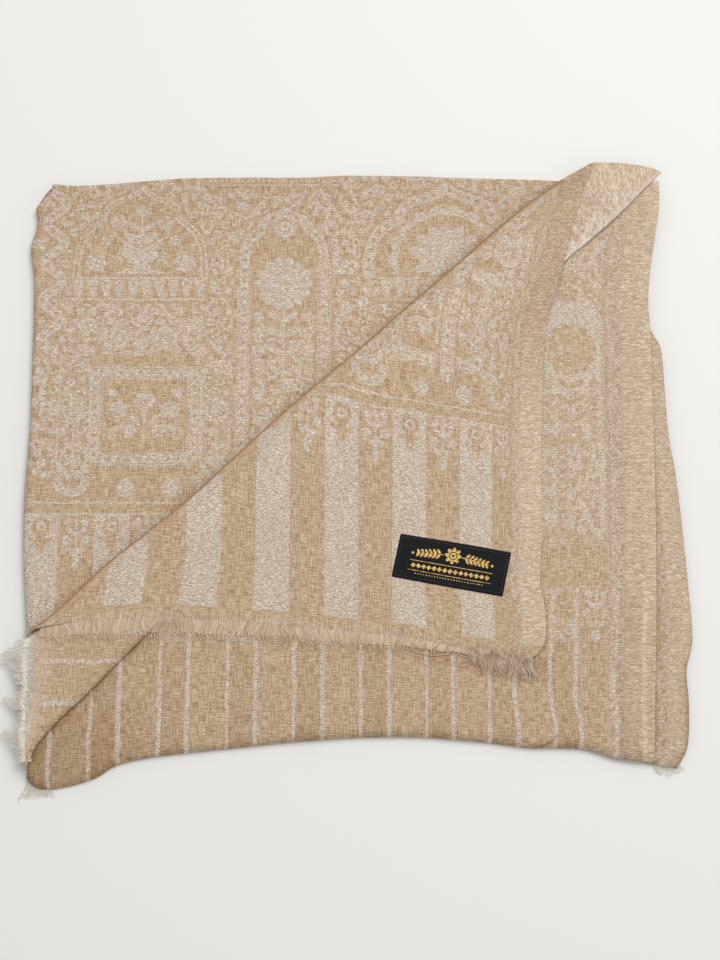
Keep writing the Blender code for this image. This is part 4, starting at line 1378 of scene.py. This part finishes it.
def make_hidden_layers(material):
    """The layers inside: five rounded folds round a flat core, on a flat underside."""
    leaves = 5
    stations = 700
    outline = smooth(STACK_OUTLINE, closed=True)
    outline = spread(np.concatenate([outline, outline[:1]]), np.arange(stations) / stations)
    along = np.roll(outline, -1, 0) - np.roll(outline, 1, 0)
    along /= np.hypot(*along.T)[:, None]
    inward = np.stack([along[:, 1], -along[:, 0]], -1)
    arc_mm = np.arange(stations) * 1.9
    around = 2 * math.pi * np.arange(stations) / stations
    sheet = Sheet()
    block = []
    thick = STACK / leaves
    for leaf in range(leaves):
        set_back = 0.0012 + 0.0010 * np.sin(around * 3 + leaf * 2.1)
        set_back += 0.0006 * np.sin(around * 11 + leaf * 4.3)
        for t in np.linspace(0, 1, 8)[(leaf > 0) :]:
            inset = set_back + 0.0012 * (1 - math.sin(math.pi * t) ** 0.6)
            place = outline + inward * inset[:, None]
            height = (leaf + t) * thick
            run = np.full(stations, 90.0 + (leaf * 8 + t * 6))
            threads = np.stack([40 + arc_mm % 380, run], -1)
            block.append(sheet.add(three(place, height), threads))
    rings = np.array(block)
    closed = np.concatenate([rings, rings[:, :1]], 1)
    sheet.quads.append(patch(closed[:, ::-1]))
    caps = []
    for ring, turn in ((rings[0], -1), (rings[-1], 1)):
        points = sheet.every()[ring]
        middle = points.mean(0)
        inner = sheet.add((points * 0.5 + middle * 0.5)[None], np.full((1, stations, 2), 60.0))[0]
        centre = sheet.add(middle[None], np.full((1, 2), 60.0))[0]
        pair = np.array([ring, inner]) if turn > 0 else np.array([inner, ring])
        caps.append(patch(np.concatenate([pair, pair[:, :1]], 1)[:, ::-1]))
        fan = np.stack([inner, np.roll(inner, -1), np.full(stations, centre)], -1)
        sheet.triangles.append(fan[:, ::-1] if turn > 0 else fan)
    sheet.quads.extend(caps)
    return sheet.finish("hidden_layers_cloth", material, lambda u, v: u * 0, relief=False)


# Fringe


def strands(paths, radii, sides=3, tones=(0.3, 1.0)):
    """Points, faces, share of length and tone of round strands: paths is strands by points by 3."""
    count, length = paths.shape[:2]
    along = np.gradient(paths, axis=1)
    along /= np.linalg.norm(along, axis=2, keepdims=True)
    side = np.cross(along, (0.0, 0.0, 1.0))
    side /= np.maximum(np.linalg.norm(side, axis=2, keepdims=True), 1e-9)
    up = np.cross(side, along)
    rings = []
    for k in range(sides):
        angle = 2 * math.pi * k / sides + math.pi / 2
        rings.append(paths + radii[..., None] * (side * math.cos(angle) + up * math.sin(angle)))
    points = np.stack(rings, 2).reshape(-1, 3)
    index = np.arange(len(points)).reshape(count, length, sides)
    around = np.roll(index, -1, 2)
    corners = [index[:, :-1], around[:, :-1], around[:, 1:], index[:, 1:]]
    quads = np.stack(corners, -1).reshape(-1, 4)
    ends = np.concatenate([index[:, -1, :3], index[:, 0, :3][:, ::-1]])
    share = np.broadcast_to(np.linspace(0, 1, length)[None, :, None], index.shape).ravel()
    tone = np.repeat(rng.uniform(*tones, count), length * sides)
    return points, quads, ends, share, tone


BUNCH = 5.6  # width in millimetres of the bunches in which fringe yarns cling


def fringe_paths(line, count, inside, height, seed, loose=1.0, steps=12):
    """Strands from inside a line out to its right, in bunches that share their waves.

    The line's third column is how far the strands reach beyond it.
    """
    draw = np.random.default_rng(seed + count)
    shares = (np.arange(count) + draw.uniform(0.1, 0.9, count)) / count
    roots = spread(line, shares)
    along = tangents(spread(line, np.linspace(0, 1, 400)))[(shares * 399).astype(int)]
    outward = -left_of(along)
    place = shares * np.hypot(*np.diff(line[:, :2], axis=0).T).sum() * 1000
    turn = line_noise(place / 10, seed + 2)
    lean = line_noise(place / 23, seed + 3)
    bunch = np.floor(place / BUNCH + 0.5 * turn)
    own = draw.uniform(-loose, loose, (3, count))
    reach = roots[:, 2] * (0.92 + 0.12 * line_noise(bunch * 0.7, seed + 4) + 0.12 * own[0])
    start = inside * (0.75 + 0.25 * own[1])
    paths = []
    for t in np.linspace(0, 1, steps):
        run = (start + reach) * t - start
        free = ease(0.1, 1.0, t)
        sway = 0.0034 * lean * free + 0.0006 * own[2] * free
        sway += 0.0012 * np.sin(run * 1000 / 2.4 + 4 * turn) * ease(0.0, 0.5, t)
        sway += ((bunch + 0.5 - 0.5 * turn) * BUNCH - place) / 1000 * 0.32 * free**2
        plane = roots[:, :2] + outward * run[:, None] + along * sway[:, None]
        out = np.clip(run / reach, 0, 1)
        lift = 0.0003 + 0.0010 * 4 * out * (1 - out) * (0.6 + 0.4 * own[0])
        paths.append(three(plane, height(plane, run) + lift))
    return np.stack(paths, 1)


def web(line, count, height, seed, cover):
    """The thin mat of hairs under the strands, over a share of their reach."""
    paths = fringe_paths(line * (1, 1, cover), count, 0.0006, height, seed, loose=0.25)
    place = np.arange(count) * 0.45
    paths[:, :, 2] -= 0.00034 - 0.00012 * line_noise(place / 0.8, seed + 5)[:, None]
    index = np.arange(paths[..., 0].size).reshape(paths.shape[:2])
    tone = np.clip(0.34 + 0.26 * line_noise(place / 0.9, seed + 6), 0.0, 1)
    share = np.tile(np.linspace(0, 1, paths.shape[1]), count)
    tone = np.repeat(tone, paths.shape[1])
    return paths.reshape(-1, 3), patch(index), NO_TRIANGLES, share, tone


def fringe(name, line, counts, inside, height, seed, material, extra=(), dull=None, cover=0.72):
    """Thick yarns, finer ones between them and a mat under both, as one mesh."""
    thick, fine, mat = counts
    parts = [web(line, mat, height, seed, cover)] if mat else []
    kinds = (  # how many, from how far inside, thinnest, thickest, tones
        (thick, inside, 0.00026, 0.00040, (0.7, 1.0)),
        (fine, inside * 0.8, 0.00012, 0.00020, (0.3, 0.9)),
    )
    for count, start, thin, wide, tones in kinds:
        paths = fringe_paths(line, count, start, height, seed)
        radii = np.outer(rng.uniform(thin, wide, count), np.linspace(1.0, 0.55, paths.shape[1]))
        parts.append(strands(paths, radii, tones=tones))
    for paths, radius in extra:
        parts.append(strands(paths, np.full(paths.shape[:2], radius)))
    return yarns(name, parts, material, dull)


def yarns(name, parts, material, dull=None):
    """Several lots of strands as one mesh."""
    firsts = np.cumsum([0, *(len(part[0]) for part in parts)])
    parts = [(p, quads + n, ends + n, *rest) for (p, quads, ends, *rest), n in zip(parts, firsts)]
    points, quads, ends, share, tone = (np.concatenate(column) for column in zip(*parts))
    made = mesh_object(name, points, quads, ends, material)
    set_values(made, "along", share)
    set_values(made, "tone", tone * dull(points) if dull else tone)
    return made


FLAP_REACH = metres(  # x, reach
    (-244, 8), (-220, 14), (-175, 16), (-80, 14), (-20, 14), (20, 11.5), (50, 8.5), (75, 6),
    (90, 10), (100, 14.5), (130, 14.5),
)
LOOSE_THREAD = metres((40, -132), (54, -134.5), (70, -133.5), (86, -138.5))  # x, y
SIDE_FRINGE = metres(  # x, y, reach
    (-243.6, -120, 11), (-243.8, -126, 18), (-243.9, -137, 25), (-244, -145, 18),
    (-244.2, -154, 11), (-244.5, -161, 5), (-244.5, -166.5, 15), (-244.5, -171.5, 20.5),
    (-244.4, -177, 8), (-244, -185, 11), (-243.5, -192.5, 23), (-243, -198.5, 16),
    (-242.6, -205, 9), (-242, -213, 8.5),
)


def make_flap_fringe(material):
    """The fringe of the corner, with a loose thread and a fuzz of hair at its right end."""
    line = spread(FLAP_END_LINE, np.linspace(0.02, 1.0, 300))
    line = np.column_stack([line, np.interp(line[:, 0], *FLAP_REACH.T)])

    def height(plane, run):
        over_strip = nearest(TURN_LINE, plane)[0]
        base = np.where(over_strip > 0, STRIP_Z, INNER_Z) + SKIN + 0.0003
        rest = base + 0.0022 * np.exp(-((over_strip / 0.006) ** 2))
        root = flap_height(plane) + SKIN + flap_waves(plane)
        return root + (np.minimum(rest, root) - root) * ease(0.0, 0.009, run)

    loose = spread(smooth(LOOSE_THREAD), np.linspace(0, 1, 12))
    loose = three(loose, INNER_Z + SKIN + 0.0008)[None]
    fuzz = fringe_paths(line[line[:, 0] > 0.080], 180, 0.002, height, 58, loose=3.5)
    extra = ((loose, 0.00030), (fuzz, 0.00015))  # and their radii

    def dull(points):
        beyond = -nearest(FLAP_END_LINE, points[:, :2])[0]
        ragged = value_noise(points[:, 0] * 400, points[:, 1] * 400, 54)
        deep = np.clip(0.44 + 0.6 * ragged, 0, 1) * (1 - 0.9 * ease(0.001, 0.008, beyond))
        return 1 - deep * ease(0.072, 0.090, points[:, 0])

    counts = (250, 260, 820)
    return fringe("flap_fringe_yarn", line, counts, 0.0062, height, 51, material, extra, dull)


def make_side_fringe(material):
    """The fringe that hangs over the left end of the turned strip."""
    line = spread(smooth(SIDE_FRINGE), np.linspace(0, 1, 80))

    def height(plane, run):
        return STRIP_Z + SKIN - 0.42 * np.maximum(0, -0.2480 - plane[:, 0])

    counts = (130, 150, 210)
    return fringe("side_fringe_yarn", line, counts, 0.0045, height, 61, material, cover=0.42)


def make_tufts(material):
    """Ends of the tucked-under fringe at the two near corners."""
    left = metres((-242.5, -225.8, 18), (-234, -231.2, 7), (-222.5, -231.4, 5.5))  # x, y, reach
    right = metres((215, -212.6, 6.5), (224, -215.5, 7.5), (232.5, -214, 4.5))  # x, y, reach

    def level(plane, run):
        return np.full(len(plane), 0.0011)

    return [
        fringe("left_tuft_yarn", smooth(left), (16, 40, 0), 0.0020, level, 71, material),
        fringe("right_tuft_yarn", smooth(right), (12, 36, 0), 0.0020, level, 81, material),
    ]


# Label

LABEL_LENGTH = 0.0840
LABEL_WIDTH = 0.0340
LABEL_AT = np.array([0.0685, -0.0660])
LABEL_ANGLE = math.radians(-10.2)
LABEL_LEAN = math.radians(-12.2)  # of its short sides
LABEL_LIFT = 0.0013
LABEL_RIM = [(0.0001, -0.00045, 0.0), (0.0, -0.0007, 0.0)]  # out, up, run
LABEL_SEAM = 0.0019  # from the label's edge in to its stitches


def on_label(along, across):
    """Places on the flap from lengths along and across the label, from its middle."""
    x = LABEL_AT[0] + along * math.cos(LABEL_ANGLE) - across * math.sin(LABEL_LEAN)
    y = LABEL_AT[1] + along * math.sin(LABEL_ANGLE) + across * math.cos(LABEL_LEAN)
    return np.stack([x, y], -1)


def label_chart():
    """A plain woven ornament: a flower between leaf sprays, a beaded bar and a row of dots."""
    chart = Chart(84.0, 34.0, 0.1, soft=0.22)
    middle, top = 42.0, 23.6
    chart.flower(middle, top, 6.4, 8, deep=0.42)
    chart.ring(middle, top, 2.9, 0.6, cut=True)
    chart.disc(middle, top, 1.0, cut=True)
    for side in BOTH:
        chart.stroke([(middle + side * 7.4, top - 0.4), (middle + side * 27, top - 2.4)], 0.6)
        chart.disc(middle + side * 30.0, top - 2.6, 1.0)
    for k in range(6):
        for angle in (50, -50):
            size = 5.2 - 0.3 * k
            leaf_pair(chart, middle, top - 0.6 - 0.3 * k, size, 1.9, angle, off=9.4 + 3.1 * k)
    for k in range(-7, 8):
        chart.leaf(middle + k * 4.0 - 1.9, 11.6, 3.8, 2.5, 0)
        chart.leaf(middle + k * 4.0, 9.7, 3.8, 2.5, 90)
    for level in (7.8, 15.4):
        chart.stroke([(middle - 31, level), (middle + 31, level)], 0.5)
    for k in range(-12, 13):
        chart.disc(middle + k * 2.1, 5.6, 0.48)
    return chart


def make_label(satin, stitch):
    """The label, its rim rounded down to the cloth, and the stitches round it."""
    nu, nv = 280, 114
    along = np.linspace(-LABEL_LENGTH / 2, LABEL_LENGTH / 2, nu)
    across = np.linspace(-LABEL_WIDTH / 2, LABEL_WIDTH / 2, nv)
    u, v = np.meshgrid(along, across)
    bow = 0.0004 * np.sin(u / LABEL_LENGTH * math.pi + 1.1) * np.sin(v / LABEL_WIDTH * 2.2)
    place = on_label(u, v + bow)
    edge = np.minimum(LABEL_LENGTH / 2 - np.abs(u), LABEL_WIDTH / 2 - np.abs(v))
    height = flap_height(place.reshape(-1, 2)).reshape(u.shape) + LABEL_LIFT
    height -= 0.00045 * np.exp(-edge / 0.0006)
    height -= 0.00016 * np.exp(-(((edge - LABEL_SEAM) / 0.0006) ** 2))
    x, y = u * 1000, v * 1000
    height += 0.00012 * value_noise(x / 9, y / 7, 91)
    sheet = Sheet()
    numbers = sheet.add(three(place, height), np.stack([x, y], -1))
    sheet.quads.append(patch(numbers))
    sides = (numbers[0], numbers[1:, -1], numbers[-1, -2::-1], numbers[-2::-1, 0])
    loop = np.concatenate(sides)
    points = sheet.every()[loop]
    outward = -left_of(tangents(points))
    hem(sheet, loop, points, points[:, :2] * 0, outward, LABEL_RIM, turned=True)
    points = sheet.every()
    made = mesh_object("label_satin", points, np.concatenate(sheet.quads), NO_TRIANGLES, satin)
    gold = np.zeros(len(points))
    gold[: nu * nv] = label_chart().read(x.ravel() + 42.0, y.ravel() + 17.0)
    set_values(made, "figure", gold)
    spot = np.zeros((len(points), 3))
    spot[: nu * nv, 0], spot[: nu * nv, 1] = u.ravel(), v.ravel()
    set_vectors(made, "thread", spot)
    bake_map(made, spot[:, 0], spot[:, 1])
    return made, make_label_stitches(stitch)


def make_label_stitches(material):
    """A running stitch round the label, just inside its edge."""
    pitch, length = 0.0027, 0.0015
    a, b = LABEL_LENGTH / 2 - LABEL_SEAM, LABEL_WIDTH / 2 - LABEL_SEAM
    route = np.array([(-a, -b), (a, -b), (a, b), (-a, b), (-a, -b)])
    whole = 4 * (a + b)
    starts = np.arange(0, whole - pitch / 2, pitch)
    starts += rng.uniform(-0.0002, 0.0002, len(starts))
    paths = []
    for t in np.linspace(0, 1, 5):
        spot = spread(route, (starts + length * t) / whole)
        place = on_label(spot[:, 0], spot[:, 1])
        lift = 0.00022 * math.sin(math.pi * t) - 0.00010
        paths.append(three(place, flap_height(place) + LABEL_LIFT + lift))
    paths = np.stack(paths, 1)
    radii = np.full(paths.shape[:2], 0.00024) * np.array([0.6, 1.0, 1.0, 1.0, 0.6])
    return yarns("label_stitches", [strands(paths, radii, sides=6)], material)


# Materials


def srgb(red, green, blue):
    """Linear colour from sRGB values of 0 to 255."""

    def linear(value):
        value /= 255
        return value / 12.92 if value <= 0.04045 else ((value + 0.055) / 1.055) ** 2.4

    return (linear(red), linear(green), linear(blue), 1.0)


class Nodes:
    """Short ways to add shader nodes to one material."""

    def __init__(self, name):
        self.material = bpy.data.materials.new(name)
        self.material.use_nodes = True
        self.tree = self.material.node_tree
        self.shader = self.tree.nodes["Principled BSDF"]

    def put(self, socket, value):
        """Links a socket, or sets it to a constant."""
        if isinstance(value, bpy.types.NodeSocket):
            self.tree.links.new(value, socket)
        elif socket.type == "VECTOR":
            socket.default_value = value[:3]
        else:
            socket.default_value = value

    def node(self, kind, inputs=(), **settings):
        """A new node with its settings, and its inputs by number or name."""
        made = self.tree.nodes.new("ShaderNode" + kind)
        for name, value in settings.items():
            setattr(made, name, value)
        for name, value in dict(inputs).items():
            self.put(made.inputs[name], value)
        return made.outputs

    def attribute(self, name, output="Fac"):
        return self.node("Attribute", attribute_name=name)[output]

    def sum(self, a, b):
        return self.node("Math", {0: a, 1: b}, operation="ADD")[0]

    def less(self, a, b):
        return self.node("Math", {0: a, 1: b}, operation="SUBTRACT")[0]

    def product(self, a, b):
        return self.node("Math", {0: a, 1: b}, operation="MULTIPLY")[0]

    def times(self, a, b):
        """A colour or vector multiplied by another, or by a value."""
        return self.node("VectorMath", {0: a, 1: b}, operation="MULTIPLY")[0]

    def noise(self, vector, across, up, detail, distortion=0.0):
        """Noise on a vector in metres, in cells of the given size in millimetres."""
        cells = self.times(vector, (1000 / across, 1000 / up, 1000 / up))
        inputs = {"Vector": cells, "Scale": 1.0, "Detail": detail, "Distortion": distortion}
        return self.node("TexNoise", inputs)["Fac"]

    def between(self, value, low, high, to_low=0.0, to_high=1.0):
        """A value's span from low to high, spread over another."""
        inputs = {"Value": value, "From Min": low, "From Max": high}
        inputs |= {"To Min": to_low, "To Max": to_high}
        return self.node("MapRange", inputs)["Result"]

    def grain(self, vector, across, up, detail, span, distortion=0.0):
        """Noise whose values within a span of its middle are spread over 0 to 1."""
        noise = self.noise(vector, across, up, detail, distortion)
        return self.between(noise, 0.5 - span, 0.5 + span)

    def mix(self, factor, a, b):
        return self.node("Mix", {0: factor, 6: a, 7: b}, data_type="RGBA")[2]

    def blend(self, parts):
        """A weighted sum of values round their middle of a half."""
        total = 0.5 - sum(weight for _, weight in parts) / 2
        for value, weight in parts:
            total = self.sum(self.product(value, weight), total)
        return total

    def bump(self, height, distance):
        inputs = {"Strength": 1.0, "Distance": distance, "Height": height}
        self.put(self.shader.inputs["Normal"], self.node("Bump", inputs)["Normal"])

    def finish(self, colour, roughness, sheen=0.0, specular=0.3):
        """The material, with what its shader takes."""
        self.put(self.shader.inputs["Base Color"], colour)
        self.shader.inputs["Roughness"].default_value = roughness
        self.shader.inputs["Specular IOR Level"].default_value = specular
        self.shader.inputs["Sheen Weight"].default_value = sheen
        self.shader.inputs["Sheen Roughness"].default_value = 0.45
        return self.material


SHADE = srgb(159, 129, 93)  # between the ground's threads
GROUND = srgb(222, 196, 166)
DIP = srgb(172, 147, 120)  # between the floats
FLOAT = srgb(251, 238, 220)
BACK_FLOAT = srgb(251, 237, 219)
CREPE_DIP = srgb(189, 163, 133)
CREPE = srgb(248, 228, 202)
# painted shade of the flap's crest and its roll
PAINTED_FOLD_SHADE = srgb(186, 150, 111)
# what painted shade leaves of a colour: at folds and edges, beside the sheets above and under the
# fringe
SHADE_TINT = (0.54, 0.42, 0.31)  # what a fold's depth leaves of a colour
SLIPPED_DIP = srgb(200, 178, 152)  # where loose floats lie thick
SLIPPED = srgb(255, 246, 232)
YARN_DEEP = srgb(180, 144, 102)
YARN = srgb(255, 242, 220)
# the fringe yarn painted lighter, standing in for light, for the pieces beside the pile
LIT_YARN_DEEP = srgb(232, 214, 186)  # at the strip's left end and the two near corners
LIT_YARN = srgb(255, 253, 244)
SATIN = srgb(23, 24, 25)
# the gold thread, from its dark to its painted glints
GOLD_DIP = srgb(172, 118, 48)
GOLD_GLINT = srgb(252, 222, 140)
STITCH = srgb(74, 76, 70)
FLOOR = srgb(240, 239, 235)


def cloth_material(name, floats):
    """Fine plain weave with off-white weft floats where the chart says, and a crepe selvedge."""
    n = Nodes(name)
    thread = n.attribute("thread", "Vector")
    warp = n.grain(thread, 0.8, 9.0, 1.0, 0.12)
    weft = n.grain(thread, 7.0, 0.8, 1.0, 0.12)
    grain = n.grain(thread, 0.8, 0.8, 0.0, 0.12)
    bands = n.grain(thread, 3.0, 90.0, 1.0, 0.20)
    bars = n.grain(thread, 70.0, 3.4, 1.0, 0.20)
    mottle = n.grain(thread, 22.0, 22.0, 3.0, 0.20)
    threads = [(warp, 0.48), (weft, 0.52), (grain, 0.22)]
    tone = n.blend([*threads, (bands, 0.03), (bars, 0.025), (mottle, 0.02)])
    ground = n.mix(tone, SHADE, GROUND)
    loose = n.grain(thread, 1.7, 0.75, 1.0, 0.14, 0.9)
    wisps = n.grain(thread, 3.6, 0.8, 1.0, 0.13, 0.6)
    float_tone = n.blend([(loose, 0.58), (wisps, 0.40), (mottle, 0.05)])
    ragged = n.blend([(loose, 0.30), (wisps, 0.24)])
    # painted shade beside the crest and on its roll hides the floats and darkens the colour; below
    # zero the floats are pulled up
    crease = n.attribute("crease")
    flat = n.less(n.attribute("figure"), n.product(crease, 0.8))
    figure = n.between(n.sum(flat, ragged), 1.0 - 0.20, 1.0 + 0.20)
    colour = n.mix(figure, ground, n.mix(float_tone, DIP, floats))
    colour = n.mix(n.between(crease, 0.1, 1.0, 0.0, 0.8), colour, PAINTED_FOLD_SHADE)
    crinkle = n.grain(thread, 5.5, 1.05, 1.0, 0.16, 1.3)
    crepe = n.attribute("crepe")
    crepe_tone = n.blend([(crinkle, 0.75), (grain, 0.15), (warp, 0.1)])
    colour = n.mix(crepe, colour, n.mix(crepe_tone, CREPE_DIP, CREPE))
    # painted shade where the shade attribute is above zero, and the loose floats' colour below zero
    shade = n.attribute("shade")
    colour = n.mix(n.between(shade, 0.0, 1.0), colour, n.times(colour, SHADE_TINT))
    slipped = n.mix(float_tone, SLIPPED_DIP, SLIPPED)
    colour = n.mix(n.between(shade, 0.0, -1.0), colour, slipped)
    raised = n.product(n.product(loose, figure), 0.8)
    height = n.sum(n.product(tone, 0.5), raised)
    n.bump(n.sum(height, n.product(crinkle, crepe)), 0.0004)
    return n.finish(colour, 0.88, sheen=0.08)


def yarn_material(name, deep, light):
    """Yarns of mixed tones, a little lighter towards their ends."""
    n = Nodes(name)
    colour = n.mix(n.between(n.attribute("tone"), 0.0, 1.0), deep, light)
    lighter = n.between(n.attribute("along"), 0.0, 1.0, 0.88, 1.04)
    return n.finish(n.times(colour, lighter), 0.8, sheen=0.2)


def satin_material():
    """Black satin with fine ribs painted lighter and darker as its sheen, and gold with painted
    glints where the label's chart says.
    """
    n = Nodes("label_satin_looks")
    thread = n.attribute("thread", "Vector")
    ribs = n.noise(thread, 2.4, 0.22, 1.0)
    gold = n.between(n.attribute("figure"), 0.42, 0.58)
    # the ribs painted lighter and darker as the satin's sheen; the gold with painted glints
    black_with_sheen = n.times(SATIN, n.between(ribs, 0.2, 0.8, 0.6, 1.5))
    gold_with_glints = n.mix(n.grain(thread, 1.6, 1.1, 2.0, 0.15), GOLD_DIP, GOLD_GLINT)
    n.bump(n.sum(n.product(ribs, 0.5), gold), 0.00008)
    return n.finish(n.mix(gold, black_with_sheen, gold_with_glints), 0.6, specular=0.10)


def stitch_material():
    """Dark grey thread, some stitches lighter than others."""
    n = Nodes("label_stitch_looks")
    tone = n.between(n.attribute("tone"), 0.0, 1.0, 0.7, 1.2)
    return n.finish(n.times(STITCH, tone), 0.6)


# Stage


def area_light(name, place, size, power):
    """A round light that points at the part."""
    data = bpy.data.lights.new(name, "AREA")
    data.shape = "DISK"
    data.size = size
    data.energy = power
    made = add_object(name, data)
    made.location = place
    made.rotation_euler = (-Vector(place)).to_track_quat("-Z", "Y").to_euler()


def make_stage():
    """A pale floor, one soft light from behind and above, and an even room."""
    material = Nodes("pale_floor").finish(FLOOR, 0.7, specular=0.2)
    corners = np.array([(-3, -3, 0), (3, -3, 0), (3, 3, 0), (-3, 3, 0)], float) + CENTRE
    floor = mesh_object("floor", corners, np.array([[0, 1, 2, 3]]), NO_TRIANGLES, material)
    area_light("key", (0.58, 0.80, 2.00), 1.5, 27.0)
    world = bpy.data.worlds.new("room")
    world.use_nodes = True
    background = world.node_tree.nodes["Background"]
    background.inputs["Color"].default_value = (0.98, 0.99, 1.0, 1.0)
    background.inputs["Strength"].default_value = 0.54
    bpy.context.scene.world = world
    bpy.context.scene.view_settings.view_transform = "Standard"


CAMERA_ELEVATION = math.radians(74.0)
CAMERA_DISTANCE = 1.3
CAMERA_TARGET_HEIGHT = 0.010
FOCAL_SHARE = 1.316  # distance in picture widths at which one picture width is seen


def make_camera():
    """The photo's view: from the near side, high above the middle of the part."""
    data = bpy.data.cameras.new("camera")
    data.sensor_fit = "HORIZONTAL"
    data.sensor_width = 36.0
    data.lens = 36.0 * FOCAL_SHARE * CAMERA_DISTANCE * 1000 / 720
    made = add_object("camera", data)
    target = Vector((-CENTRE[0], -CENTRE[1], CAMERA_TARGET_HEIGHT))
    back = Vector((0.0, -math.cos(CAMERA_ELEVATION), math.sin(CAMERA_ELEVATION)))
    made.location = target + back * CAMERA_DISTANCE
    made.rotation_euler = (-back).to_track_quat("-Z", "Y").to_euler()
    bpy.context.scene.camera = made


def declare(made, node):
    """Hangs a piece on the root, and hides the solid that it stands for."""
    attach(made, "root")
    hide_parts(node)


def main():
    good = cloth_material("good_side_looks", FLOAT)
    back = cloth_material("reverse_looks", BACK_FLOAT)
    yarn = yarn_material("fringe_yarn_looks", YARN_DEEP, YARN)
    # the same yarn painted lighter for the side fringe and the tufts, against the shade beside the
    # pile
    pale = yarn_material("lit_yarn_looks", LIT_YARN_DEEP, LIT_YARN)
    top = make_top_ply(good)
    flap = make_corner_flap(good)
    strip = make_turned_strip(back)
    inner = make_inner_ply(back)
    lower = make_lower_ply(good)
    stack = make_hidden_layers(back)
    flap_fringe = make_flap_fringe(yarn)
    side_fringe = make_side_fringe(pale)
    left_tuft, right_tuft = make_tufts(pale)
    label, stitches = make_label(satin_material(), stitch_material())
    for made, node in (
        (top, "top_ply"),
        (flap, "corner_flap"),
        (strip, "turned_strip"),
        (inner, "inner_ply"),
        (lower, "lower_ply"),
        (stack, "hidden_layers"),
    ):
        declare(made, node)
    for made, node in (
        (flap_fringe, "flap_fringe"),
        (side_fringe, "side_fringe"),
        (left_tuft, "left_tuft"),
        (right_tuft, "right_tuft"),
    ):
        declare(made, node)
    declare(label, "label")
    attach(stitches, "root")


main()
make_stage()
make_camera()
